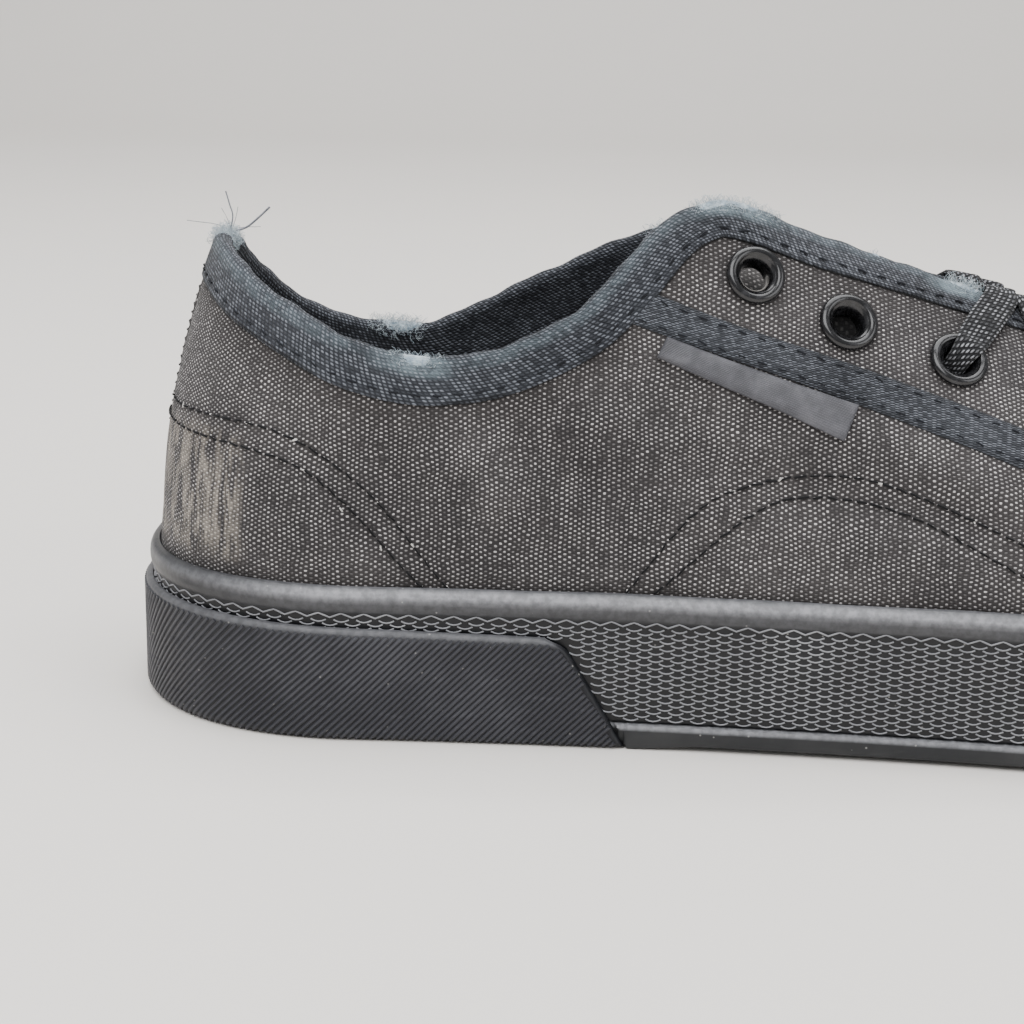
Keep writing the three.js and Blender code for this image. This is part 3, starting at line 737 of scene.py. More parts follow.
def makeTag():
    material, tree, shader, place, cloth = newMaterial("blank_tag", 0.62)
    shader.inputs["Specular IOR Level"].default_value = 0.3
    weave = useGroup(tree, twillGroup, Cloth=cloth, Pitch=0.42, Rise=0.3)
    rub = useGroup(tree, fadeGroup, Place=place, Size=170.0, Low=0.4, High=0.7)["Mask"]
    colour = blendColour(tree, calc(tree, "MULTIPLY", weave["Speck"], 0.35), tone(62, 62, 66),
                         tone(92, 92, 97))
    smear = useGroup(tree, fadeGroup, Place=place, Size=420.0, Low=0.38, High=0.62)["Mask"]
    colour = blendColour(tree, calc(tree, "MULTIPLY", smear, 0.4), colour, tone(64, 64, 69))
    colour = blendColour(tree, calc(tree, "MULTIPLY", rub, 0.4), colour, tone(112, 112, 117))
    tree.links.new(colour, shader.inputs["Base Color"])
    bumpOf(tree, shader, weave["Height"], 0.00005)
    return material


canvasFinish = makeCanvas()
tapeFinish = makeTape("binding_tape", tone(26, 28, 33), tone(112, 116, 124), tone(128, 144, 152))
liningFinish = makePlainCloth("lining_cloth", tone(70, 63, 57), tone(128, 118, 108), 0.6, 0.55, 0.00012)
tongueFinish = makePlainCloth("tongue_canvas", tone(44, 42, 42), tone(170, 166, 164), 0.75, 0.4, 0.0002)
insoleFinish = makePlainCloth("insole_cloth", tone(64, 58, 53), tone(112, 104, 97), 0.5, 0.5, 0.0001,
                              wash=0.7)
foxingFinish = makeRubber("sidewall_rubber", tone(14, 15, 18), tone(34, 35, 38), 0.36)
# wave strokes and wave line: the sidewall's black rubber painted pale, a painted highlight on the raised
# relief
waveHighlightFinish = makeRubber("wave_rubber", tone(122, 123, 127), tone(170, 171, 174), 0.35, dust=0.0)
bumperFinish = makeRubber("bumper_rubber", tone(18, 19, 23), tone(50, 51, 56), 0.46)
# bumper ribs: the bumper's rubber painted lighter, a painted highlight on the raised ribs
ribHighlightFinish = makeRubber("rib_rubber", tone(46, 47, 52), tone(84, 85, 90), 0.42)
treadFinish = makeRubber("tread_rubber", tone(32, 33, 35), tone(70, 70, 70), 0.55, dust=0.1)
enamelFinish = makeEnamel()
braidFinish = makeBraid()
seamFinish = makePlainCloth("navy_thread", tone(20, 22, 27), tone(58, 62, 72), 0.3, 0.3, 0.00005)
threadFinish = makePlainCloth("dark_thread", tone(14, 14, 16), tone(40, 41, 44), 0.3, 0.3, 0.00005)
fluffFinish = makeFluff("frayed_cotton", tone(112, 132, 146), tone(176, 190, 198))
hairFinish = makeFluff("loose_cotton", tone(132, 150, 160), tone(190, 203, 209))
strayFinish = makeFluff("stray_thread", tone(84, 88, 98), tone(120, 124, 132))
paleFinish = makeFluff("bare_thread", tone(150, 147, 144), tone(222, 219, 214))
tagFinish = makeTag()
print("materials: made")


def geoTree(name, inputs):
    tree = bpy.data.node_groups.new(name, "GeometryNodeTree")
    tree.interface.new_socket("Geometry", in_out="INPUT", socket_type="NodeSocketGeometry")
    for label, kind, value in inputs:
        made = tree.interface.new_socket(label, in_out="INPUT", socket_type="NodeSocket" + kind)
        if value is not None:
            made.default_value = value
    tree.interface.new_socket("Geometry", in_out="OUTPUT", socket_type="NodeSocketGeometry")
    return tree, tree.nodes.new("NodeGroupInput").outputs, tree.nodes.new("NodeGroupOutput")


def closeTree(tree, source, sink, instances):
    real = addNode(tree, "GeometryNodeRealizeInstances", {0: instances})
    smooth = addNode(tree, "GeometryNodeSetShadeSmooth", {0: real.outputs[0]})
    painted = addNode(tree, "GeometryNodeSetMaterial", {0: smooth.outputs[0], "Material": source["Material"]})
    tree.links.new(painted.outputs[0], sink.inputs[0])


def alignedTo(tree, up, forward):
    first = addNode(tree, "FunctionNodeAlignRotationToVector", {"Vector": up}, axis="Z")
    second = addNode(tree, "FunctionNodeAlignRotationToVector",
                     {"Rotation": first.outputs[0], "Vector": forward}, axis="X", pivot_axis="Z")
    return second.outputs[0]


def vectorAttribute(tree, name):
    return addNode(tree, "GeometryNodeInputNamedAttribute", {"Name": name},
                   data_type="FLOAT_VECTOR").outputs[0]


def sweptArc(tree, start, middle, end, steps, sides, radius):
    curve = addNode(tree, "GeometryNodeCurveQuadraticBezier",
                    {"Resolution": steps, "Start": start, "Middle": middle, "End": end})
    ring = addNode(tree, "GeometryNodeCurvePrimitiveCircle", {"Resolution": sides, "Radius": radius})
    swept = addNode(tree, "GeometryNodeCurveToMesh",
                    {"Curve": curve.outputs[0], "Profile Curve": ring.outputs[0], "Fill Caps": True})
    return swept.outputs[0]

def spanEnds(tree, length):  # half the length to each side
    halves = [calcFloat(tree, "MULTIPLY", length, share) for share in (-0.5, 0.5)]
    return [addNode(tree, "ShaderNodeCombineXYZ", {0: half}).outputs[0] for half in halves]

def calcFloat(tree, operation, a, b):
    return addNode(tree, "ShaderNodeMath", {0: a, 1: b}, operation=operation).outputs[0]


def makeStitchTree():
    tree, source, sink = geoTree("stitchRow", [
        ("Pitch", "Float", 0.003), ("Length", "Float", 0.0024), ("Rise", "Float", 0.0005),
        ("Thread", "Float", 0.0003), ("Wander", "Float", 0.1), ("Seed", "Int", 1),
        ("Material", "Material", None)])
    line = addNode(tree, "GeometryNodeMeshToCurve", {0: source["Geometry"]})
    even = addNode(tree, "GeometryNodeResampleCurve", {"Curve": line.outputs[0], "Length": source["Pitch"]},
                   mode="LENGTH")
    jitter = addNode(tree, "FunctionNodeRandomValue", {0: (-1, -1, -1), 1: (1, 1, 1), "Seed": source["Seed"]},
                     data_type="FLOAT_VECTOR")
    lean = addNode(tree, "ShaderNodeVectorMath", {0: jitter.outputs[0], 3: source["Wander"]},
                   operation="SCALE")
    tangent = tree.nodes.new("GeometryNodeInputTangent").outputs[0]
    forward = addNode(tree, "ShaderNodeVectorMath", {0: tangent, 1: lean.outputs[0]}, operation="ADD")
    start, end = spanEnds(tree, source["Length"])
    middle = addNode(tree, "ShaderNodeCombineXYZ", {2: source["Rise"]}).outputs[0]
    stitch = sweptArc(tree, start, middle, end, 5, 6, source["Thread"])
    size = addNode(tree, "FunctionNodeRandomValue", {2: 0.82, 3: 1.08, "Seed": source["Seed"]},
                   data_type="FLOAT")
    placedOn = addNode(tree, "GeometryNodeInstanceOnPoints", {
        "Points": even.outputs[0], "Instance": stitch,
        "Rotation": alignedTo(tree, vectorAttribute(tree, "up"), forward.outputs[0]),
        "Scale": size.outputs[1]})
    closeTree(tree, source, sink, placedOn.outputs[0])
    return tree


def makeStrokeTree():
    tree, source, sink = geoTree("waveStrokes", [
        ("Length", "Float", 0.0022), ("Dip", "Float", 0.0007), ("Ridge", "Float", 0.00016),
        ("Material", "Material", None)])
    start, end = spanEnds(tree, source["Length"])
    low = calcFloat(tree, "MULTIPLY", source["Dip"], -1.0)
    middle = addNode(tree, "ShaderNodeCombineXYZ", {1: low}).outputs[0]
    stroke = sweptArc(tree, start, middle, end, 4, 4, source["Ridge"])
    placedOn = addNode(tree, "GeometryNodeInstanceOnPoints", {
        "Points": source["Geometry"], "Instance": stroke,
        "Rotation": alignedTo(tree, vectorAttribute(tree, "up"), vectorAttribute(tree, "along"))})
    closeTree(tree, source, sink, placedOn.outputs[0])
    return tree


def makeRibTree():
    tree, source, sink = geoTree("sweptRibs", [("Radius", "Float", 0.0003), ("Sides", "Int", 6),
                                               ("Material", "Material", None)])
    line = addNode(tree, "GeometryNodeMeshToCurve", {0: source["Geometry"]})
    ring = addNode(tree, "GeometryNodeCurvePrimitiveCircle", {"Resolution": source["Sides"],
                                                              "Radius": source["Radius"]})
    rib = addNode(tree, "GeometryNodeCurveToMesh", {"Curve": line.outputs[0],
                                                    "Profile Curve": ring.outputs[0], "Fill Caps": True})
    closeTree(tree, source, sink, rib.outputs[0])
    return tree


def makeFibreTree():
    tree, source, sink = geoTree("tornFibres", [
        ("Density", "Float", 6e6), ("Length", "Float", 0.0016), ("Thread", "Float", 0.00005),
        ("Spread", "Float", 0.9), ("Seed", "Int", 3), ("Material", "Material", None)])
    dots = addNode(tree, "GeometryNodeDistributePointsOnFaces",
                   {"Mesh": source["Geometry"], "Density": source["Density"], "Seed": source["Seed"]})
    tilt = addNode(tree, "FunctionNodeRandomValue", {0: (-1, -1, -1), 1: (1, 1, 1), "Seed": source["Seed"]},
                   data_type="FLOAT_VECTOR")
    lean = addNode(tree, "ShaderNodeVectorMath", {0: tilt.outputs[0], 3: source["Spread"]}, operation="SCALE")
    up = addNode(tree, "ShaderNodeVectorMath", {0: dots.outputs["Normal"], 1: lean.outputs[0]},
                 operation="ADD")
    spin = addNode(tree, "FunctionNodeRandomValue", {0: (-1, -1, -1), 1: (1, 1, 1), "ID": 7,
                                                     "Seed": source["Seed"]}, data_type="FLOAT_VECTOR")
    size = addNode(tree, "FunctionNodeRandomValue", {2: 0.35, 3: 1.0, "Seed": source["Seed"]},
                   data_type="FLOAT")
    curl = calcFloat(tree, "MULTIPLY", source["Length"], 0.75)
    drop = calcFloat(tree, "MULTIPLY", source["Length"], -0.15)
    high = calcFloat(tree, "MULTIPLY", source["Length"], 0.9)
    middle = addNode(tree, "ShaderNodeCombineXYZ", {0: curl, 2: high}).outputs[0]
    end = addNode(tree, "ShaderNodeCombineXYZ", {0: drop, 1: curl, 2: source["Length"]}).outputs[0]
    hair = sweptArc(tree, (0, 0, 0), middle, end, 5, 3, source["Thread"])
    placedOn = addNode(tree, "GeometryNodeInstanceOnPoints", {
        "Points": dots.outputs["Points"], "Instance": hair,
        "Rotation": alignedTo(tree, up.outputs[0], spin.outputs[0]), "Scale": size.outputs[1]})
    closeTree(tree, source, sink, placedOn.outputs[0])
    return tree


stitchTree = makeStitchTree()
strokeTree = makeStrokeTree()
ribTree = makeRibTree()
fibreTree = makeFibreTree()


def runTree(name, mesh, tree, material, values):
    carrier = bpy.data.objects.new(name + "_source", mesh)
    bpy.context.scene.collection.objects.link(carrier)
    modifier = carrier.modifiers.new("shape", "NODES")
    modifier.node_group = tree
    for item in tree.interface.items_tree:
        if item.in_out == "INPUT" and item.name in values:
            modifier[item.identifier] = values[item.name]
        elif item.in_out == "INPUT" and item.name == "Material":
            modifier[item.identifier] = material
    graph = bpy.context.evaluated_depsgraph_get()
    made = bpy.data.meshes.new_from_object(carrier.evaluated_get(graph), depsgraph=graph)
    made.name = name
    bpy.data.objects.remove(carrier)
    return made


def lineMesh(name, lines):  # lines: (points, up vectors) in shoe millimetres
    points = np.concatenate([p for p, _ in lines])
    ups = np.concatenate([n for _, n in lines])
    edges, first = [], 0
    for p, _ in lines:
        edges += [(first + i, first + i + 1) for i in range(len(p) - 1)]
        first += len(p)
    mesh = bpy.data.meshes.new(name)
    mesh.from_pydata(placed(points).tolist(), edges, [])
    mesh.attributes.new("up", "FLOAT_VECTOR", "POINT").data.foreach_set("vector", ups.ravel())
    return mesh


def stitchPiece(name, lines, pitch, length, thread, rise, seed, wander=0.1, finish=None):
    mesh = runTree(name, lineMesh(name, lines), stitchTree, finish or threadFinish,
                   {"Pitch": pitch / 1000, "Length": length / 1000, "Thread": thread / 1000,
                    "Rise": rise / 1000, "Seed": seed, "Wander": wander})
    return addPiece(name, mesh, finish or threadFinish)


def surfaceLine(points, side, lift, step=1.0):  # points as (outline x, z); a smooth line on the upper
    along = np.linspace(0, len(points) - 1, 40 * len(points))
    x, z = smoothed(np.array(points, float), along).T
    base, _ = resample(columnPoint(x, z, side), step)
    base = settle(base)
    return skin(base, lift), normalAt(base)


# the canvas is outside, the lining inside, and both are cut for the eyelets

upperSizes = {"columns": 215, "rows": 54, "backRows": 26, "canvas": 0.9, "edgeDrop": 1.3}


def upperStations():
    even = xAt(np.linspace(0, 1, upperSizes["columns"]))
    extra = np.concatenate([np.arange(186, 198.5, 0.7), [last["collarX"], last["throatX"]]])
    kept = [last["heelX"]]
    for x in np.unique(np.concatenate([even, extra])):
        near = last["toeX"] - x if x < last["toeX"] else 1
        if x - kept[-1] > 0.2 and near > 0.2:
            kept.append(x)
    return uAt(np.array(kept + ([] if kept[-1] == last["toeX"] else [last["toeX"]])))


def upperGrid(side, rows, lift):
    u = upperStations()
    x = xAt(u)
    drop = upperSizes["edgeDrop"] * smoothStep((last["throatX"] - x) / 8)
    top = rimAngle(u, side)
    lowered = lastPoint(u, side, top)
    span = np.linalg.norm(lowered - lastPoint(u, side, top - 0.01), axis=-1) / 0.01
    top = top - drop / np.maximum(span, 1e-6)
    share = np.linspace(0, 1, rows)[:, None]
    base = lastPoint(u[None], side, top[None] * share)
    foot = outline(u, side, 0, floorZ(x) + 0.3)[None]
    middle = (foot + base[:1]) / 2
    base = np.concatenate([foot, middle, base])
    shown = skin(base, lift)
    arc = np.concatenate([np.zeros((1, len(u))), np.cumsum(np.linalg.norm(np.diff(base, axis=0), axis=-1),
                                                           0)])
    arc -= arc[2:3]
    whole = arc[-1]
    throat = np.argmin(np.abs(x - last["throatX"]))
    whole = np.where(x < last["throatX"], whole[throat], whole)
    v = side * (whole[None] - arc)
    px, py = rawOutline(u, side)
    along = np.concatenate([[0], np.cumsum(np.hypot(np.diff(px), np.diff(py)))])
    heelArc = np.interp(last["heelFan"], x, along)
    turn = np.arctan2(py - centreY(last["toeFan"]), px - last["toeFan"])
    uu = np.where(x < last["heelFan"], last["heelFan"] - (heelArc - along), x)[None] + 0 * v
    inFan = (x > last["toeFan"])[None]
    rho = whole[None] - arc
    uu = np.where(inFan, last["toeFan"] + rho * np.cos(turn)[None], uu)
    v = np.where(inFan, rho * np.sin(turn)[None], v)
    return shown, np.stack([uu, v], -1), x


def upperShell(liftOut, liftIn):
    grids = []
    for side in (-1, 1):
        outside, uvOut, x = upperGrid(side, upperSizes["rows"], liftOut)
        inside, uvIn, _ = upperGrid(side, upperSizes["backRows"], liftIn)
        opened = x < last["throatX"] + 1e-6
        grids += [(outside, uvOut), (inside, uvIn)]
        grids.append((np.stack([outside[-1], inside[-1]])[:, opened],
                      np.stack([uvOut[-1], uvIn[-1]])[:, opened]))
        grids.append((np.stack([outside[0], inside[0]]), np.stack([uvOut[0], uvIn[0]])))
    return grids


def eyeletFrames():
    found = {}
    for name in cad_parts:
        if name.startswith("eyelet_"):
            low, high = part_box(name)
            centre = settle(((local(low) + local(high)) / 2)[None])[0]
            found[name] = (centre, normalAt(centre[None])[0])
    return found


eyelets = eyeletFrames()


def basis(normal):
    along = unit(np.cross([0, 1, 0], normal))
    return along, np.cross(normal, along)


def punched(mesh, radius):
    cutter = bmesh.new()
    for centre, normal in eyelets.values():
        a, b = basis(normal)
        turn = np.linspace(0, 2 * np.pi, 25)[:-1]
        ring = centre + radius * (np.cos(turn)[:, None] * a + np.sin(turn)[:, None] * b)
        low = [cutter.verts.new(p) for p in placed(ring - normal * 6)]
        high = [cutter.verts.new(p) for p in placed(ring + normal * 6)]
        cutter.faces.new(low[::-1])
        cutter.faces.new(high)
        for i in range(24):
            j = (i + 1) % 24
            cutter.faces.new((low[i], low[j], high[j], high[i]))
    bmesh.ops.recalc_face_normals(cutter, faces=cutter.faces)
    cutMesh = bpy.data.meshes.new("punches")
    cutter.to_mesh(cutMesh)
    cutter.free()
    body = bpy.data.objects.new("body", mesh)
    tool = bpy.data.objects.new("tool", cutMesh)
    for o in (body, tool):
        bpy.context.scene.collection.objects.link(o)
    cut = body.modifiers.new("cut", "BOOLEAN")
    cut.operation = "DIFFERENCE"
    cut.object = tool
    cut.solver = "MANIFOLD"
    graph = bpy.context.evaluated_depsgraph_get()
    made = bpy.data.meshes.new_from_object(body.evaluated_get(graph), depsgraph=graph)
    bpy.data.objects.remove(body)
    bpy.data.objects.remove(tool)
    return made


def paintPoints(mesh, name, rule):
    co = np.zeros(len(mesh.vertices) * 3, np.float32)
    mesh.vertices.foreach_get("co", co)
    value = rule(co.reshape(-1, 3).astype(float) * 1000 - shift)
    mesh.attributes.new(name, "FLOAT", "POINT").data.foreach_set("value", value.astype(np.float32))


def unpainted(q):
    return np.zeros(len(q))

def scrapeRule(q):
    x, y, z = q.T
    back = (y < 6) & (x < 30)
    return np.where(back, smoothStep((23.5 - x) / 4) * smoothStep((z - 27) / 4) * smoothStep((52 - z) / 7), 0)


def lowRule(q):
    return smoothStep((29 - q[:, 2] + spring(q[:, 0])) / 3)


# painted shade on the canvas under the collar tape, fading out 12.5 mm below the rim
def tapeShadeRule(q):
    away = distanceTo(rim, q)
    return smoothStep((12.5 - away) / 6)


def liningShade(q):  # dark beyond the collar
    return 0.9 * smoothStep((q[:, 0] - 82) / 14)

canvasMesh = punched(meshOfGrids("upper_canvas", upperShell(0.0, -upperSizes["canvas"])), 3.3)
paintPoints(canvasMesh, "scrape", scrapeRule)
addPiece("upper_canvas", canvasMesh, canvasFinish, ["upper"])
liningMesh = punched(meshOfGrids("upper_lining", upperShell(-upperSizes["canvas"] - 0.04, -last["wall"])),
                     3.3)
paintPoints(liningMesh, "shade", liningShade)
addPiece("upper_lining", liningMesh, liningFinish)
print("upper: canvas", len(canvasMesh.polygons), "lining", len(liningMesh.polygons))


# the binding tape runs round the collar and throat, folded over the edge

tapeSizes = {"outside": 6.5, "throatOutside": 5.3, "collarInside": 9.5, "throatInside": 6.0, "thick": 0.6,
             "fold": 1.6, "step": 1.1, "stitchUp": 1.6}


def rimLoop():
    x = np.concatenate([np.arange(last["throatX"], 186, -0.35), np.arange(186, last["heelX"] + 4, -1.0)])
    x = np.concatenate([x, last["heelX"] + 4 * np.linspace(1, 0, 12)[1:] ** 2])
    lateral = lastPoint(uAt(x), -1.0 + 0 * x, rimAngle(uAt(x), -1.0 + 0 * x))
    medial = lastPoint(uAt(x), 1.0 + 0 * x, rimAngle(uAt(x), 1.0 + 0 * x))[::-1]
    loop = np.concatenate([lateral, medial[1:-1]])
    loop, _ = resample(loop, tapeSizes["step"], closed=True)
    for _ in range(4):
        loop = settle((np.roll(loop, 1, 0) + 2 * loop + np.roll(loop, -1, 0)) / 4)
    _, _, down = pathFrame(loop, True)
    return march(loop, down, upperSizes["edgeDrop"] + 0.1, 1)[-1]


rim = rimLoop()
_, rimNormal, rimDown = pathFrame(rim, True)
rimArc = arcLength(np.concatenate([rim, rim[:1]]))


rimWidth = tapeSizes["outside"] + (tapeSizes["throatOutside"] - tapeSizes["outside"]) * smoothStep(
    (rim[:, 0] - 84) / 16)


def wrap(rows):
    return np.concatenate([rows, rows[:, :1]], 1)


def makeBinding():
    s = tapeSizes
    outer = march(rim, rimDown, rimWidth, 16)
    depth = s["throatInside"] + (s["collarInside"] - s["throatInside"]) * smoothStep((96 - rim[:, 0]) / 16)
    inner = march(rim, rimDown, depth, 9)
    wobble = 0.12 * np.sin(rimArc[:-1] / 2.3) + 0.1 * np.sin(rimArc[:-1] / 1.1 + 2)
    fold = s["fold"] - last["wall"] / 2
    rows, dist = [], []
    lifts = np.linspace(fold, s["thick"], len(outer))
    groove = s["stitchUp"] / s["outside"] * 16
    for k in (16, 15, 14, 13, 12, 11, 10, 8, 6, 4, 2):
        dip = 0.16 * math.exp(-((16 - k - groove) / 0.8) ** 2)
        rows.append(skin(outer[k], lifts[k] - dip + wobble * 0.4))
        dist.append(s["outside"] * k / 16)
    rows[0] = skin(outer[-1], s["thick"] * 0.6)
    centre = skin(rim, -last["wall"] / 2)
    for turn in np.linspace(0, np.pi, 9):
        around = rimNormal * np.cos(turn) - rimDown * np.sin(turn)
        rows.append(centre + around * (s["fold"] + wobble[:, None]))
        dist.append(-s["fold"] * turn)
    for k in range(1, len(inner)):
        rows.append(skin(inner[k], -last["wall"] - s["thick"] + 0.15 * (k == len(inner) - 1)))
        dist.append(-s["fold"] * np.pi - s["collarInside"] * k / 9)
    back = [skin(inner[k], -last["wall"] + 0.05) for k in (9, 6, 4, 2)]
    back += [centre + (rimNormal * np.cos(t) - rimDown * np.sin(t)) * 1.0 for t in np.linspace(np.pi, 0, 5)]
    back += [skin(outer[k], -0.05) for k in (4, 10, 14, 16)]
    rows += back
    dist += [dist[-1]] * len(back)
    rows.append(rows[0])
    dist.append(dist[0])
    grid = wrap(np.array(rows))
    uv = np.stack(np.broadcast_arrays(rimArc[None], np.array(dist)[:, None]), -1)
    mesh = meshOfGrids("collar_binding", [(grid, uv)], sharpDeg=50)
    return mesh, outer


# darker just above the foxing, and painted shade under the collar tape
def canvasFoxingDarkAndTapeShade(q):
    return np.maximum(lowRule(q), tapeShadeRule(q))

paintPoints(canvasMesh, "low", canvasFoxingDarkAndTapeShade)
bindingMesh, bindingRows = makeBinding()


wornPatches = [  # side, outline x from, to, how far down the tape, strength
    (-1, 4, 11, 7.0, 0.75), (-1, 41, 61, 2.6, 0.62), (-1, 93, 112, 2.2, 0.8), (-1, 121, 128, 1.6, 0.6),
    (-1, 133, 148, 3.0, 0.8), (1, 4, 11, 7.0, 0.75), (1, 36, 52, 5.0, 0.9), (1, 88, 104, 3.0, 0.8),
    (1, 58, 68, 2.4, 0.7),
]


def bindingWear(q):
    near = distanceTo(rim, q)
    crest = 0.2 * smoothStep((1.5 - near) / 0.7)
    side = np.sign(q[:, 1] - centreY(q[:, 0]))
    outside = smoothStep((levelAt(q) - 0.975) / 0.03)
    for patchSide, first, end, reach, strength in wornPatches:
        fadeIn = 0.42 * (end - first)
        along = smoothStep((q[:, 0] - first) / fadeIn) * smoothStep((end - q[:, 0]) / fadeIn)
        crest = np.maximum(crest, strength * along * smoothStep((reach - near) / 1.6) * (side == patchSide))
    return crest * outside


# painted shade along the binding's lower edge
def bindingEdgeShade(q):
    away = distanceTo(bindingRows[-1], q)
    return smoothStep((0.75 - away) / 0.45)


paintPoints(bindingMesh, "worn", bindingWear)
paintPoints(bindingMesh, "edge", bindingEdgeShade)
addPiece("collar_binding", bindingMesh, tapeFinish)
stitchAt = march(rim, rimDown, rimWidth - tapeSizes["stitchUp"], 6)[-1]
closing = np.concatenate([stitchAt, stitchAt[:1]])
stitchPiece("collar_stitches", [(skin(closing, tapeSizes["thick"] - 0.02), normalAt(closing))],
            3.5, 1.5, 0.19, 0.42, 4, wander=0.25, finish=seamFinish)
print("binding: done")


sideSizes = {
    "tapeTop": [(88.6, 73.6), (105.7, 67.8), (125.6, 61.5), (148.4, 53.7), (170, 46.2), (190, 37.4),
                (207, 26)],
    "tapeLow": [(83.6, 69.3), (105.7, 62.3), (125.1, 55.8), (147.9, 47.9), (168, 40.6), (185, 32.4),
                (195, 25)],
    "tapeThick": 0.5,
    "tagTop": [(91.0, 67.0), (101.3, 63.5), (111.5, 60.1), (121.9, 56.9)],
    "tagLow": [(89.4, 63.7), (99.8, 59.6), (109.8, 55.6), (119.4, 51.4)],
    "tagThick": 0.75,
    "heelOuter": [(5.2, 51.8), (7.5, 51.6), (27.1, 50.3), (42.2, 42.1), (56.1, 26.3)],
    "heelInner": [(5.2, 48.6), (6.9, 48.4), (32.3, 44.5), (52.1, 26.2)],
    "archOuter": [(85.6, 26.3), (96.4, 39.9), (105.5, 44.4), (116.2, 46.1), (127, 44.8), (145.5, 37.7),
                  (168, 26)],
    "archInner": [(90.7, 26.8), (105.7, 40), (116.4, 42.7), (130, 40.4), (145.9, 32.8), (158, 26)],
}


def bandPiece(name, top, low, side, thick, material, slot, rows=9, stand=0.0):
    lines = [surfaceCurve(points, side, 90) for points in (top, low)]
    share = np.linspace(0, 1, rows)[:, None, None]
    base = settle(lines[0][None] * (1 - share) + lines[1][None] * share)
    edge = np.ones((rows, base.shape[1]))
    edge[[0, -1], :] = 0.45
    edge[:, [0, -1]] = 0.45
    lower = stand * np.linspace(0, 1, rows)[:, None]
    upper = skin(base, thick * edge + lower)
    under = skin(base, -0.08)
    along = arcLength(base[rows // 2])
    across = arcLength(base[:, 40])
    uv = np.stack(np.broadcast_arrays(along[None], across[:, None]), -1)
    mesh = meshOfGrids(name, closedSheet(upper, under, uv, uv), sharpDeg=55)
    if slot == "tape":
        border = np.concatenate([base[0], base[-1]])

        def borderShade(q):
            return smoothStep((0.8 - distanceTo(border, q)) / 0.45) * 0.7
        paintPoints(mesh, "worn", unpainted)
        paintPoints(mesh, "edge", borderShade)
    return addPiece(name, mesh, material), base


def surfaceCurve(points, side, count):
    x, z = smoothed(np.array(points, float), np.linspace(0, len(points) - 1, 400)).T
    fine = columnPoint(x, z, side)
    length = arcLength(fine)
    at = np.linspace(0, length[-1], count)
    return np.stack([np.interp(at, length, fine[:, k]) for k in range(3)], -1)

def tapeStitches(base, share, lift):
    rows = base.shape[0] - 1
    low = int(share * rows)
    line = base[low] * (1 - (share * rows - low)) + base[min(low + 1, rows)] * (share * rows - low)
    away = distanceTo(rim, line)
    line = settle(line[away > tapeSizes["outside"] + 0.6])
    return skin(line, lift), normalAt(line)


for label, side in (("lateral", -1), ("medial", 1)):
    _, tapeBase = bandPiece(f"{label}_strap_tape", sideSizes["tapeTop"], sideSizes["tapeLow"], side,
                            sideSizes["tapeThick"], tapeFinish, "tape")
    stitchPiece(f"{label}_strap_stitches", [tapeStitches(tapeBase, t, sideSizes["tapeThick"] - 0.04)
                                            for t in (0.17, 0.83)], 3.3, 1.4, 0.18, 0.4, 11 + side,
                wander=0.25, finish=seamFinish)
    seams = []
    for key in ("heelOuter", "heelInner", "archOuter", "archInner"):
        seams.append(surfaceLine(sideSizes[key], side, 0.05, 1.2))
    stitchPiece(f"{label}_panel_stitches", seams, 2.3, 1.75, 0.2, 0.42, 21 + side, wander=0.22)
    bare = [surfaceLine(sideSizes[key][2:] if key == "heelInner" else sideSizes[key], side, 0.0, 1.2)
            for key in ("heelOuter", "heelInner", "archOuter")]
    stitchPiece(f"{label}_worn_threads", bare, 7.9, 0.8, 0.14, 0.32, 31 + side, wander=0.6, finish=paleFinish)
bandPiece("blank_side_tag", sideSizes["tagTop"], sideSizes["tagLow"], -1, sideSizes["tagThick"], tagFinish,
          "tag", stand=0.5)
print("sides: tapes, tag, seams")


heelSeam = {"low": 27.0, "high": 74.5, "width": 3.0, "thick": 0.5}


def seamGrime(q):
    return np.full(len(q), 0.8)

def makeHeelSeam():
    z = np.linspace(heelSeam["low"], heelSeam["high"], 60)
    centre = columnPoint(last["heelX"] + 0 * z, z, -1)
    across = np.linspace(-1, 1, 7)
    spots = centre[None] + np.stack([0 * across, across * heelSeam["width"] / 2, 0 * across], -1)[:, None]
    base = settle(spots)
    lift = heelSeam["thick"] * np.sqrt(np.clip(1 - across ** 2, 0, 1))[:, None] + 0.06 * np.sin(z / 1.3)[None]
    lift[[0, -1]] = -0.1
    upper = skin(base, lift)
    under = skin(base, -0.12)
    uv = np.stack(np.broadcast_arrays(z[None], across[:, None] * 1.5), -1)
    mesh = meshOfGrids("heel_seam", closedSheet(upper, under, uv))
    paintPoints(mesh, "scrape", unpainted)
    paintPoints(mesh, "low", seamGrime)
    addPiece("heel_seam", mesh, canvasFinish)
    crossings = []
    for k, height in enumerate(np.arange(46, 73, 1.7)):
        slant = 0.7 if k % 2 else -0.7
        reach = 1.5 + 0.25 * math.sin(height * 1.7)
        pair = np.array([[4.0, -reach, height - slant], [3.6, 0, height], [4.0, reach, height + slant]])
        spot = settle(pair)
        crossings.append((skin(spot, np.array([0.05, heelSeam["thick"] + 0.1, 0.05])), normalAt(spot)))
    mesh = runTree("heel_seam_stitches", lineMesh("heelCross", crossings), ribTree, threadFinish,
                   {"Radius": 0.0002, "Sides": 7})
    addPiece("heel_seam_stitches", mesh, threadFinish)


makeHeelSeam()


eyeletSizes = {"outer": 4.9, "hole": 2.25, "crown": 1.35, "barrel": 3.05, "back": 4.1, "segments": 48}


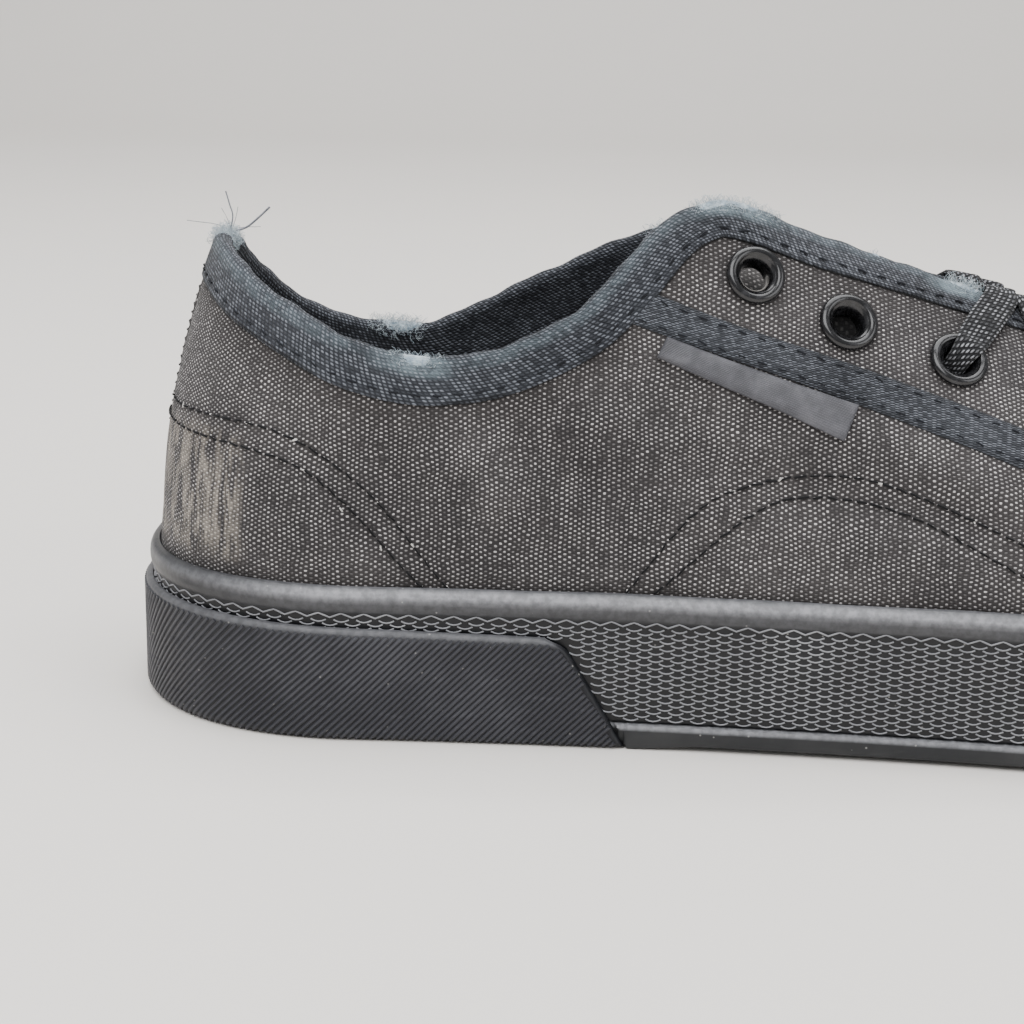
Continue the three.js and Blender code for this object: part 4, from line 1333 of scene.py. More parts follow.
def makeEyelet(name):
    s = eyeletSizes
    deep = -last["wall"] - 0.5
    profile = [(s["barrel"], deep), (s["barrel"], 0.1), (s["outer"] - 0.35, 0.12), (s["outer"], 0.32),
               (s["outer"] + 0.02, 0.55)]
    crown = np.linspace(0.1, 0.72, 7)
    ringMid, ringHalf = s["outer"] - 0.9, 0.9
    profile += [(ringMid + ringHalf * math.cos(math.pi * t), 0.5 + (s["crown"] - 0.5) * math.sin(math.pi * t))
                for t in crown]
    profile += [(3.42, 1.14), (3.16, 0.97), (2.92, 0.75), (2.7, 0.46), (2.5, 0.1), (2.36, -0.32),
                (2.28, -0.8), (s["hole"], -1.3), (s["hole"], deep - 0.1), (s["hole"] + 0.3, deep - 0.35),
                (s["back"] - 0.2, deep - 0.35),
                (s["back"], deep - 0.15), (s["back"], deep)]
    centre, normal = eyelets[name]
    a, b = basis(normal)
    turn = np.linspace(0, 2 * np.pi, s["segments"] + 1)
    ring = np.array(profile + profile[:1])
    grid = (centre + ring[:, 0, None, None] * (np.cos(turn)[:, None] * a + np.sin(turn)[:, None] * b)[None]
            + ring[:, 1, None, None] * normal)
    mesh = meshOfGrids(name + "_ring", [(grid, None)], sharpDeg=48)
    addPiece(name + "_ring", mesh, enamelFinish, [name])


for eyeletName in sorted(eyelets):
    makeEyelet(eyeletName)
print("eyelets:", len(eyelets))


soleSizes = {
    "sidewall": 1.3, "outsole": 4.0, "lip": 2.5, "columns": 260,
    "wavePeriod": 3.67, "waveRow": 0.64, "waveTop": 21.2, "waveLow": 5.6,
    "bumperIn": 1.6, "bumperThick": 1.2, "bumperDrop": 1.5, "bumperLow": 0.4, "bumperHigh": 20.0,
    "frontLow": 86.0, "frontHigh": 75.0,
    "ribPitch": 1.2, "ribSlope": 47.0,
    "grooveDeep": 1.3, "grooveWide": 2.2, "groovePitch": 9.0,
    "treads": [(16, 80), (168, 276)],
}


def soleRows(profile, stations=None):
    u = np.linspace(0, 1, soleSizes["columns"]) if stations is None else stations
    grids = {}
    for side in (-1, 1):
        rows = [outline(u, side, out(xAt(u)) if callable(out) else out,
                        z(xAt(u)) if callable(z) else spring(xAt(u)) + z) for out, z in profile]
        grids[side] = np.array(rows)
    return u, grids


def loopArc(u, side):
    x, y = rawOutline(u, side)
    return np.concatenate([[0], np.cumsum(np.hypot(np.diff(x), np.diff(y)))])


def capGrid(lateralRow, medialRow, across=9, crown=None):
    share = np.linspace(0, 1, across)[:, None, None]
    grid = lateralRow[None] * (1 - share) + medialRow[None] * share
    if crown is not None:
        grid[..., 2] += crown(share[..., 0])
    return grid


def waver(x, amount):
    return amount * (np.sin(x / 11.0) + 0.7 * np.sin(x / 4.3 + 1))

def beadOut(out):
    def at(x):
        return out + waver(x, 0.03)
    return at

def beadHeight(z):
    def at(x):
        return spring(x) + z + waver(x, 0.07)
    return at

def beadHighlightAndRub(q):  # the bead's upper half: painted highlight with rub wear, less behind the heel
    z = q[:, 2] - spring(q[:, 0])
    litAndRubbed = 0.12 + 0.6 * np.exp(-((z - 24.9) / 0.9) ** 2)
    return litAndRubbed * smoothStep((z - 21.4) / 0.6) * (0.35 + 0.65 * smoothStep((q[:, 0] - 8) / 30))

def makeFoxing():
    s = soleSizes
    profile = [(s["sidewall"] - 0.45, s["outsole"] + 0.3), (s["sidewall"] - 0.05, s["outsole"] + 0.6),
               (s["sidewall"], 5.2), (s["sidewall"], 13.0), (s["sidewall"], 21.3)]
    bead = [(1.42, 21.62), (1.66, 22.0), (1.86, 22.6), (1.96, 23.3), (1.97, 24.0), (1.87, 24.7), (1.64, 25.3),
            (1.3, 25.75), (0.85, 25.98), (0.3, 26.0)]
    profile += [(beadOut(out), beadHeight(z)) for out, z in bead]
    profile += [(0.02, 25.6), (0.02, floorZ)]
    u, grids = soleRows(profile)
    parts = []
    for side in (-1, 1):
        arc = loopArc(u, side)
        rise = np.arange(len(profile))
        parts.append((grids[side], np.stack(np.broadcast_arrays(side * arc[None], rise[:, None] * 1.0), -1)))
    parts.append((capGrid(grids[-1][0], grids[1][0]), None))
    parts.append((capGrid(grids[-1][-1], grids[1][-1]), None))
    mesh = meshOfGrids("foxing", parts, sharpDeg=40)
    paintPoints(mesh, "crest", beadHighlightAndRub)
    addPiece("foxing", mesh, foxingFinish, ["foxing_midsole"])


def waveSpots():
    s = soleSizes
    spots, along, ups, zigzag = [], [], [], []
    for side in (-1, 1):
        u = np.linspace(0, 1, 4000)
        arc = loopArc(u, side)
        for row in range(int((s["waveTop"] - s["waveLow"]) / s["waveRow"]) + 1):
            height = s["waveTop"] - 0.75 - row * s["waveRow"]
            at = np.arange((0.25 + 0.5 * (row % 2)) * s["wavePeriod"], arc[-1], s["wavePeriod"])
            uu = np.interp(at, arc, u)
            x = xAt(uu)
            front = s["frontLow"] + (s["frontHigh"] - s["frontLow"]) * (height / s["bumperHigh"])
            kept = (x > front + 0.4) | (height > s["bumperHigh"] - bumperSink(x, s["bumperHigh"]) - 0.3)
            kept &= (uu > 0.004) & (uu < 0.996)
            p = outline(uu, side, s["sidewall"] + 0.02, height + spring(x))[kept]
            ahead = outline(uu + 1e-3, side, s["sidewall"] + 0.02, height + spring(xAt(uu + 1e-3)))[kept]
            direction = unit(ahead - p) * (-side)
            flat = unit(np.cross(direction, [0, 0, 1.0]))
            spots.append(p)
            along.append(direction)
            ups.append(flat)
        at = np.arange(0, arc[-1], s["wavePeriod"] / 4)
        uu = np.interp(at, arc, u)
        z = s["waveTop"] + 0.36 * np.cos(2 * np.pi * (at / s["wavePeriod"] - 0.25)) + spring(xAt(uu))
        zigzag.append(outline(uu, side, s["sidewall"] + 0.04, z))
    return np.concatenate(spots), np.concatenate(along), np.concatenate(ups), zigzag


def makeWaves():
    p, direction, up, zigzag = waveSpots()
    mesh = bpy.data.meshes.new("waveSpots")
    mesh.from_pydata(placed(p).tolist(), [], [])
    mesh.attributes.new("up", "FLOAT_VECTOR", "POINT").data.foreach_set("vector", up.ravel())
    mesh.attributes.new("along", "FLOAT_VECTOR", "POINT").data.foreach_set("vector", direction.ravel())
    made = runTree("foxing_waves", mesh, strokeTree, waveHighlightFinish,
                   {"Length": 0.0025, "Dip": 0.00078, "Ridge": 0.00014})
    addPiece("foxing_waves", made, waveHighlightFinish)
    lines = [(z, np.zeros_like(z)) for z in zigzag]
    made = runTree("foxing_wave_line", lineMesh("waveLine", lines), ribTree, waveHighlightFinish,
                   {"Radius": 0.00015, "Sides": 5})
    addPiece("foxing_wave_line", made, waveHighlightFinish)


def bumperFront(z):
    s = soleSizes
    share = (z - s["bumperLow"]) / (s["bumperHigh"] - s["bumperLow"])
    corner = 2.5 * smoothStep((share - 0.86) / 0.14) ** 2
    return s["frontLow"] + (s["frontHigh"] - s["frontLow"]) * share - corner


def bumperSink(x, z):
    s = soleSizes
    share = (z - s["bumperLow"]) / (s["bumperHigh"] - s["bumperLow"])
    return s["bumperDrop"] * share * np.clip(x / s["frontHigh"], 0, 1)


def bumperPoint(share, z, out):  # share -1 lateral front, 0 heel, 1 medial front
    side = np.where(share < 0, -1.0, 1.0)
    u = uAt(bumperFront(z)) * np.abs(share)
    return outline(u, side, out, z - bumperSink(xAt(u), z))


def roundedEdge(near):  # 0 at the edge to 1 a millimetre in, as a quarter circle
    return np.sqrt(np.clip(1 - (1 - np.clip(near, 0, 1)) ** 2, 0, 1))

# painted highlight along the bumper's top edge
def bumperTopHighlight(q):
    high = soleSizes["bumperHigh"]
    return 0.22 * smoothStep((q[:, 2] - high + bumperSink(q[:, 0], high) + 1.5) / 0.8)

def makeBumper():
    s = soleSizes
    share = np.linspace(-1, 1, 241)
    share = np.sign(share) * (1 - (1 - np.abs(share)) ** 1.25)
    rise = (1 - np.cos(np.linspace(0, np.pi, 25))) / 2
    z = (s["bumperLow"] + (s["bumperHigh"] - s["bumperLow"]) * rise)[:, None] + 0 * share[None]
    sh = share[None] + 0 * z
    edgeZ = np.minimum(z - s["bumperLow"], s["bumperHigh"] - z)
    edgeX = (1 - np.abs(sh)) * 105
    near = np.minimum(edgeZ, edgeX)
    full = roundedEdge(near)
    outer = bumperPoint(sh, z, s["bumperIn"] + s["bumperThick"] * (0.25 + 0.75 * full))
    inner = bumperPoint(sh, z, s["bumperIn"])
    mesh = meshOfGrids("heel_guard", closedSheet(outer, inner), sharpDeg=50)
    paintPoints(mesh, "crest", bumperTopHighlight)
    addPiece("heel_guard", mesh, bumperFinish, ["heel_bumper"])
    lines = []
    u = np.linspace(0, 0.6, 3000)
    for side in (-1, 1):
        arc = loopArc(u, side)
        for start in np.arange(-16, 112, s["ribPitch"]):
            slope = s["ribSlope"] + 8 * smoothStep((30 - start) / 40)
            z = np.linspace(s["bumperLow"] + 0.15, s["bumperHigh"] - 1.1, 26)
            at = start + (z - z[0]) / math.tan(math.radians(slope))
            frontArc = np.interp(uAt(bumperFront(z)), u, arc)
            kept = (at >= 0) & (at < frontArc - 0.25)
            if kept.sum() < 2:
                continue
            uu = np.interp(at[kept], arc, u)
            near = np.minimum(z[kept] - s["bumperLow"], s["bumperHigh"] - z[kept])
            full = roundedEdge(near)
            out = s["bumperIn"] + s["bumperThick"] * (0.25 + 0.75 * full) - 0.02
            p = outline(uu, side, out, z[kept] - bumperSink(xAt(uu), z[kept]))
            lines.append((p, np.zeros_like(p)))
    made = runTree("heel_guard_ribs", lineMesh("ribLines", lines), ribTree, ribHighlightFinish,
                   {"Radius": 0.00033, "Sides": 6})
    addPiece("heel_guard_ribs", made, ribHighlightFinish)


def treadZ(x):
    arch = last["archLift"] * smoothStep((x - 86) / 14) * (1 - smoothStep((x - 148) / 22))
    return spring(x) + arch


def soleLip(x, less, z):
    s = soleSizes
    start = bumperFront(z) + 0.25
    return s["sidewall"] + (s["lip"] - s["sidewall"]) * smoothStep((x - start) / 0.3) - less


def roughEdge(x):
    return 0.09 * np.sin(x * 2.9) + 0.07 * np.sin(x * 6.1 + 1)

def lipRow(less, z, rough=0.0):
    def at(x):
        return soleLip(x, less, z) + rough * roughEdge(x)
    return at

def treadRow(up):
    def at(x):
        return treadZ(x) + up
    return at

def topRow(up, rough=0.0):
    def at(x):
        return spring(x) + soleSizes["outsole"] + up + rough * roughEdge(x)
    return at

# painted highlight along the outsole lip's top edge, with wear
def lipTopHighlight(q):
    return smoothStep((q[:, 2] - spring(q[:, 0]) - soleSizes["outsole"] + 0.5) / 0.3) * 0.5

def makeOutsole():
    s = soleSizes
    x = np.concatenate([xAt(np.linspace(0, 1, 160)), np.arange(12, 282, 0.55), np.arange(83.6, 87.2, 0.2)])
    x = np.sort(x)
    x = np.concatenate([x[:-1][np.diff(x) > 0.1], [last["toeX"]]])
    x[0] = last["heelX"]
    u = uAt(x)
    profile = [(lipRow(0.7, 0.4), treadRow(0.0)), (lipRow(0.12, 0.7), treadRow(0.35)),
               (lipRow(0.0, 1.2), treadRow(0.9)), (lipRow(0.0, 3), topRow(-0.75)),
               (lipRow(0.06, 3.6, 1.0), topRow(-0.3)), (lipRow(0.4, 4, 1.0), topRow(0.06, 0.5))]
    u, grids = soleRows(profile, u)
    x = xAt(u)
    under = capGrid(grids[-1][0], grids[1][0], 46)
    centre = centreY(x)
    inGroove = np.zeros_like(x)
    for first, end in s["treads"]:
        for g in np.arange(first, end, s["groovePitch"]):
            inGroove = np.maximum(inGroove, smoothStep((s["grooveWide"] / 2 + 0.28 - np.abs(x - g)) / 0.5))
    half = np.minimum(np.abs(grids[-1][0][:, 1] - centre), np.abs(grids[1][0][:, 1] - centre)) - 6
    fade = smoothStep((half[None] - np.abs(under[..., 1] - centre[None])) / 1.2 + 0.5)
    ripple = 0.18 * (0.5 + 0.5 * np.sin(2 * np.pi * (under[..., 0] / 3 + 0.35 * np.sin(under[..., 1] / 3.2))))
    tread = ((x > 11) & (x < 84)) | ((x > 163) & (x < 280))
    under[..., 2] += (s["grooveDeep"] * inGroove[None] * fade
                      + ripple * fade * tread[None] * (1 - inGroove[None]))
    parts = [(grids[side], None) for side in (-1, 1)]
    parts += [(under, None), (capGrid(grids[-1][-1], grids[1][-1], 3), None)]
    mesh = meshOfGrids("outsole_plate", parts, sharpDeg=45)
    paintPoints(mesh, "crest", lipTopHighlight)
    addPiece("outsole_plate", mesh, treadFinish, ["outsole"])


def insoleLevel(up):
    def at(x):
        return floorZ(x) + 0.3 + up
    return at

def makeInsole():
    inset = last["wall"] + 0.55
    u = np.linspace(0, 1, 170)
    profile = [(-inset - 0.5, insoleLevel(0.0)), (-inset, insoleLevel(0.7)), (-inset, insoleLevel(3.4)),
               (-inset - 0.4, insoleLevel(4.0))]
    u, grids = soleRows(profile, u)
    x = xAt(u)

    def crown(share):
        middle = np.sin(np.pi * share)
        heelDip = -1.5 * np.exp(-((x[None] - 42) / 26) ** 2) * middle ** 0.8
        archUp = 0.9 * np.exp(-((x[None] - 125) / 30) ** 2) * share ** 2
        ball = -0.9 * np.exp(-((x[None] - 205) / 28) ** 2) * middle
        return heelDip + archUp * middle + ball + 0.25 * middle
    upper = capGrid(grids[-1][-1], grids[1][-1], 41, crown)
    lower = capGrid(grids[-1][0], grids[1][0], 5)
    uv = np.stack([upper[..., 0], upper[..., 1]], -1)
    mesh = meshOfGrids("insole_pad", [(grids[-1], None), (grids[1], None), (upper, uv), (lower, None)],
                       sharpDeg=50)
    addPiece("insole_pad", mesh, insoleFinish, ["insole"])


makeFoxing()
makeWaves()
makeBumper()
makeOutsole()
makeInsole()
print("sole: done")


tongueSizes = {"top": 82.0, "end": 208.0, "clear": 0.9, "thick": 2.0, "drop": 3.8, "swell": 2.8, "bind": 7.0}
tongueHalf = through([[82, 23], [90, 27], [98, 31], [106, 34], [114, 31.5], [124, 29], [140, 27.6],
                      [190, 24.6], [208, 21.6]])


def tongueRidge(x):
    x = np.asarray(x, float)
    u = uAt(np.maximum(x, last["collarX"]))
    rims = [lastPoint(u, s + 0 * u, rimAngle(u, s + 0 * u))[..., 2] for s in (-1.0, 1.0)]
    slump = 12 * smoothStep((last["collarX"] - x) / (last["collarX"] - tongueSizes["top"]))
    swell = tongueSizes["swell"] * np.exp(-((x - 105) / 9) ** 2)  # it fills the gap behind the first eyelets
    return np.minimum(*rims) - tongueSizes["drop"] - slump + swell + last["wall"]


def tongueLayer(x, inset, columns=41):
    share = np.linspace(-1, 1, columns)
    rows = []
    for t in share:
        side = -1.0 if t < 0 else 1.0
        u = uAt(x)
        span = tongueHalf(x) * abs(t)
        angle = angleAtSpan(u, side, span, inset)
        row = lastPoint(u, side + 0 * u, angle, tongueRidge, inset)
        flap = lastPoint(u, side + 0 * u, angle, ridgeHeight, inset)  # the flanks lie against the flaps
        hug = smoothStep((span - gapHalf(x, side) - 0.5) / 5) * smoothStep((x - 94) / 8)
        row[:, 2] += (flap[:, 2] - row[:, 2]) * hug
        rows.append(row)
    grid = np.array(rows)
    gx, t = grid[..., 0], share[:, None]
    sag = 0.7 * np.sin(gx / 8.5 + 2 * t) * (1 - t ** 2) + 0.5 * np.sin(gx / 4.9 - 3 * t)
    free = 1 - smoothStep((np.abs(t) - 0.45) / 0.3)
    grid[..., 2] -= (1.0 * np.exp(-((gx - 150) / 40) ** 2) + 0.35 * (sag + 1)) * free
    return grid


def tongueShade(q):  # dark under the flaps
    return 0.93 * smoothStep((np.abs(q[:, 1] - centreY(q[:, 0])) - 9) / 6)

def tongueTopWear(q):
    return smoothStep((tongueSizes["top"] + 1 - q[:, 0]) / 2)

def makeTongue():
    s = tongueSizes
    x = np.linspace(s["top"], s["end"], 130)
    upper = tongueLayer(x, last["wall"] + s["clear"])
    under = tongueLayer(x, last["wall"] + s["clear"] + s["thick"])
    uv = np.stack(np.broadcast_arrays(x[None], np.linspace(-27, 27, 41)[:, None]), -1)
    mesh = meshOfGrids("tongue_body", closedSheet(upper, under, uv), sharpDeg=50)
    paintPoints(mesh, "shade", tongueShade)
    addPiece("tongue_body", mesh, tongueFinish, ["tongue"])
    x = np.linspace(s["top"] - 0.4, s["top"] + s["bind"], 10)
    upper = tongueLayer(np.maximum(x, s["top"]), last["wall"] + s["clear"])
    under = tongueLayer(np.maximum(x, s["top"]), last["wall"] + s["clear"] + s["thick"])
    upper[..., 2] += 0.5
    under[..., 2] -= 0.5
    for grid in (upper, under):
        grid[:, 0, 0] -= 1.0
        grid[:, 0, 2] += (0.5 if grid is under else -0.5) * s["thick"] * 0.8
    uv = np.stack(np.broadcast_arrays(np.linspace(-27, 27, 41)[:, None], x[None]), -1)
    mesh = meshOfGrids("tongue_binding", closedSheet(upper, under, uv), sharpDeg=60)
    paintPoints(mesh, "worn", tongueTopWear)
    addPiece("tongue_binding", mesh, tapeFinish)


makeTongue()
print("tongue: done")


# a flat braid, crossed between the lower four pairs of eyelets, its ends tucked in

laceSizes = {"wide": 5.9, "thick": 1.15, "inHole": 3.9, "holeThick": 1.9, "level": 2.0}


def throatLevel(x):
    u = uAt(np.asarray([x], float))
    rims = [lastPoint(u, np.array([s]), rimAngle(u, np.array([s])))[0, 2] for s in (-1.0, 1.0)]
    return min(rims) - laceSizes["level"]


def edgePoint(x, side):
    u = uAt(np.asarray([x], float))
    return lastPoint(u, np.array([side]), rimAngle(u, np.array([side])))[0]


def ribbon(name, stops):  # stops: point, up, width, thickness
    points, ups, wide, thick = (np.array(v, float) for v in zip(*stops))
    chord = arcLength(points)
    at = np.linspace(0, chord[-1], max(12, int(chord[-1] / 0.5)))
    line = smoothed(points, at, chord)
    up = unit(smoothed(ups, at, chord))
    w = np.interp(at, chord, wide)
    h = np.interp(at, chord, thick)
    tangent = unit(np.gradient(line, axis=0))
    across = unit(np.cross(tangent, up))
    up = unit(np.cross(across, tangent))
    turn = np.linspace(0, 2 * np.pi, 19)
    cw = np.sign(np.cos(turn)) * np.abs(np.cos(turn)) ** 0.55
    ch = np.sign(np.sin(turn)) * np.abs(np.sin(turn)) ** 0.8
    grid = line[None] + across[None] * (cw[:, None] * w[None] / 2)[..., None] \
        + up[None] * (ch[:, None] * h[None] / 2)[..., None]
    girth = np.concatenate([[0], np.cumsum(np.hypot(np.diff(cw) * w.mean() / 2, np.diff(ch) * h.mean() / 2))])
    arc = arcLength(line)
    uv = np.stack(np.broadcast_arrays(arc[None], girth[:, None]), -1)
    ends = []
    for k in (0, -1):
        ends.append((np.stack([grid[:, k], np.repeat(line[k][None], 19, 0)]), None))
    return meshOfGrids(name, [(grid, uv)] + ends, sharpDeg=60), arc[-1]


def signOf(side):
    return -1.0 if side == "lateral" else 1.0

def eyeletAt(side, number):
    return eyelets[f"eyelet_{side}_{number}"]


def outOf(side, number, landX):
    s = laceSizes
    sign = signOf(side)
    centre, normal = eyeletAt(side, number)
    edge = edgePoint(landX, sign)
    heading = unit(edge - centre)
    edgeUp = normalAt(edge[None])[0]
    mid = settle(((centre + edge) / 2)[None])[0]
    inward = np.array([0, -sign, 0])
    stops = [(centre - normal * 2.4 - heading * 0.5, unit(normal * 0.3 - heading), s["inHole"],
              s["holeThick"]),
             (centre + normal * 0.3 + heading * 0.6, unit(normal * 0.8 - heading * 0.7), s["inHole"],
              s["holeThick"]),
             (centre + normal * 1.95 + heading * 2.6, unit(normal - heading * 0.2), s["inHole"] + 0.8, 1.5),
             (centre + normal * 1.9 + heading * 4.8, normal, s["wide"] - 0.4, s["thick"]),
             (skin(mid[None], 1.25)[0], normalAt(mid[None])[0], s["wide"], s["thick"]),
             (skin(edge[None], 1.75)[0] - heading * 1.2, edgeUp, s["wide"], s["thick"]),
             (edge + np.array([0, 0, 1.5]) + inward * 1.2, unit(edgeUp * 0.5 + [0, 0, 1] + inward * 0.6),
              s["wide"], s["thick"])]
    return stops


def under(side, number, landX):
    s = laceSizes
    sign = signOf(side)
    centre, normal = eyeletAt(side, number)
    edge = edgePoint(landX, sign)
    n = normalAt(edge[None])[0]
    return [(edge - n * 2.9 + np.array([0, -sign * 1.5, -0.4]), n, s["wide"], s["thick"]),
            (centre - normal * 3.3 + unit(edge - centre) * 3.2, normal, s["wide"] - 0.6, s["thick"]),
            (centre - normal * 3.2, unit(normal + unit(edge - centre) * 0.3), s["inHole"], s["thick"])]


def across(fromX, toX, fromSide, drop):
    out = []
    for t in (0.18, 0.5, 0.82):
        x = fromX + (toX - fromX) * t
        sign = signOf(fromSide)
        yA = centreY(fromX) + sign * (gapHalf(fromX, sign) - 2.5)
        yB = centreY(toX) - sign * (gapHalf(toX, -sign) - 2.5)
        y = yA + (yB - yA) * (t - 0.18) / 0.64
        place = np.array([x, y, throatLevel(x) - drop + 0.5 * math.sin(math.pi * t)])
        out.append((place, np.array([0.35, 0, 1.0]), laceSizes["wide"], laceSizes["thick"]))
    return out


def lacePiece(name, stops, stands=()):
    mesh, run = ribbon(name, stops)
    addPiece(name, mesh, braidFinish, stands)
    return run

def makeLaces():
    s = laceSizes
    length = 0.0
    other = {"lateral": "medial", "medial": "lateral"}
    for number in (4, 5):
        for side, drop in (("lateral", 0.0), ("medial", 1.35)):
            leave = eyeletAt(side, number)[0][0] - 3.5
            arrive = eyeletAt(other[side], number - 1)[0][0] + 3.5
            stops = outOf(side, number, leave) + across(leave, arrive, side, drop)
            stops += under(other[side], number - 1, arrive)
            stands = [f"lace_cross_{number - 3}"] if side == "lateral" else ()
            length += lacePiece(f"lace_{side}_{number}", stops, stands)
    for side in ("lateral", "medial"):
        sign = signOf(side)
        land = eyeletAt(side, 3)[0][0] + 9.3
        edge = edgePoint(land, sign)
        stops = outOf(side, 3, land)
        for away, up in (((1.0, -sign * 3.6, -0.6), (0.0, -sign * 0.8, 0.6)),
                         ((3.0, -sign * 4.6, -2.2), (0.3, -sign * 0.9, 0.4))):
            stops.append((edge + np.array(away), np.array(up), s["wide"], s["thick"]))
        length += lacePiece(f"lace_end_{side}", stops)
    for side, drop in (("lateral", 0.2), ("medial", 1.5)):
        leave = eyeletAt(side, 6)[0][0] - 3.5
        arrive = eyeletAt(other[side], 5)[0][0] + 3.5
        stops = under(side, 6, leave)[::-1] + across(leave, arrive, side, drop)
        stops += under(other[side], 5, arrive)
        length += lacePiece(f"lace_{side}_6", stops, ["lace_cross_3"] if side == "lateral" else ())
    barX = eyeletAt("lateral", 6)[0][0] + 0.8
    middle = [(np.array([barX, centreY(barX) + y, throatLevel(barX) + 3.2]), np.array([0.3, 0, 1.0]),
               s["wide"], s["thick"]) for y in (-4.0, 0.0, 4.0)]
    stops = outOf("lateral", 6, barX) + middle + outOf("medial", 6, barX)[::-1]
    length += lacePiece("lace_bottom_bar", stops, ["lace_bar"])
    print("lace: length shown", round(length), "mm")

makeLaces()


# frayed patches on the binding: where along the rim, how far down each side, how thick

frayed = [  # (side, outline x from, to, height of the pile, fibres)
    ("heel", -7.0, 3.6, 1.1, 1.0), ("lateral", 45, 56, 0.35, 0.5), ("lateral", 94, 110, 0.8, 0.7),
    ("lateral", 124, 127, 0.5, 0.4), ("lateral", 138, 145, 1.1, 0.8), ("medial", 38, 50, 1.2, 1.0),
    ("medial", 90, 102, 0.9, 0.6),
]


def rimSlice(side, low, high):
    if side == "heel":
        centre = np.argmin(rim[:, 0])
        arc = rimArc[:-1] - rimArc[centre]
        return np.where((arc > low) & (arc < high))[0]
    sign = signOf(side)
    onSide = np.sign(rim[:, 1] - centreY(rim[:, 0])) == sign
    found = np.where((rim[:, 0] > low) & (rim[:, 0] < high) & onSide)[0]
    return found


def patchGrid(chosen, pile, seed):
    rng = np.random.default_rng(seed)
    line = rim[chosen]
    fine, _ = resample(line, 0.45)
    fine = settle(fine)
    _, normal, down = pathFrame(fine, False)
    centre = skin(fine, -last["wall"] / 2)
    ends = np.sin(np.linspace(0, np.pi, len(fine))) ** 0.6
    turns = np.linspace(-0.25, np.pi * 0.95, 15)
    rows = []
    for turn in turns:
        edge = math.sin((turn + 0.25) / (np.pi * 0.95 + 0.25) * np.pi) ** 0.5
        lump = rng.uniform(0.35, 1.0, len(fine))
        swell = tapeSizes["fold"] - 0.3 + (0.2 + pile * 0.55 * lump) * ends * edge
        rows.append(centre + (normal * np.cos(turn) - down * np.sin(turn)) * swell[:, None])
    return np.array(rows)


def feltParts(grid):  # the pile's skin, and its back a tenth of the way to the chord
    chord = (grid[:1] + grid[-1:]) / 2
    return [(grid, None), (grid * 0.9 + 0.1 * chord, None)]

def makeFray():
    felt, hairs = [], []
    for number, (side, low, high, pile, amount) in enumerate(frayed):
        chosen = rimSlice(side, low, high)
        if len(chosen) < 3:
            continue
        grid = patchGrid(chosen, pile, 40 + number)
        felt += feltParts(grid)
        mesh = meshOfGrids(f"patch{number}", [(grid, None)], sharpDeg=180)
        outward = grid[7, 2] - (grid[0, 2] + grid[-1, 2]) / 2
        middle = mesh.polygons[len(mesh.polygons) // 2]
        if np.dot(np.array(middle.normal), outward) < 0:
            mesh.flip_normals()
        hairs.append(runTree(f"frayHair{number}", mesh, fibreTree, hairFinish,
                             {"Density": 9e6 * amount, "Length": 0.0006 + 0.0009 * pile, "Thread": 0.000035,
                              "Spread": 0.85, "Seed": 5 + number}))
    addPiece("frayed_edge", meshOfGrids("frayed_edge", felt, sharpDeg=180), fluffFinish)
    whole = joinMeshes("frayed_fibres", hairs)
    addPiece("frayed_fibres", whole, hairFinish)
    print("fray: fibres", len(whole.polygons))

def makeLooseThreads():
    heel = rim[np.argmin(rim[:, 0])] + np.array([1.5, 0, 1.5])
    threads = {
        "upright": [(0, 0, 0), (0.4, -0.3, 2.4), (-0.1, -0.5, 4.4), (-0.7, -0.6, 6.6)],
        "long": [(0.9, -0.6, -0.2), (2.9, -1.0, 0.5), (5.0, -1.2, 2.2), (7.0, -1.3, 4.1)],
        "back": [(-0.8, 0, 0.2), (-2.8, -0.4, 0.9), (-5.6, -0.4, 1.2), (-7.6, -0.2, 1.4)],
        "side": [(0.8, 0.2, 0.1), (2.6, 0.1, 0.4), (5.2, 0.1, 0.5)],
        "stray1": [(0, 0.2, 0), (-0.7, 0.1, 2.0), (-1.6, 0.2, 3.6)],
        "stray2": [(0.2, 0.2, 0), (0.9, 0, 2.0), (1.3, 0, 3.9)],
    }
    radii = {"upright": 0.13, "long": 0.2, "back": 0.06, "side": 0.05, "stray1": 0.05, "stray2": 0.05}
    strands = []
    for key, offsets in threads.items():
        points = heel + np.array(offsets, float)
        fine = smoothed(points, np.linspace(0, len(points) - 1, 24))
        strands.append(runTree("thread_" + key, lineMesh(key, [(fine, np.zeros_like(fine))]), ribTree,
                               strayFinish, {"Radius": radii[key] / 1000, "Sides": 6}))
    addPiece("loose_threads", joinMeshes("loose_threads", strands), strayFinish)

makeFray()
makeLooseThreads()


studio = {"keyPower": 13.0, "overPower": 17.0, "fillPower": 4.0, "wallPower": 30.0, "world": 0.6,
          "floor": tone(226, 222, 217)}


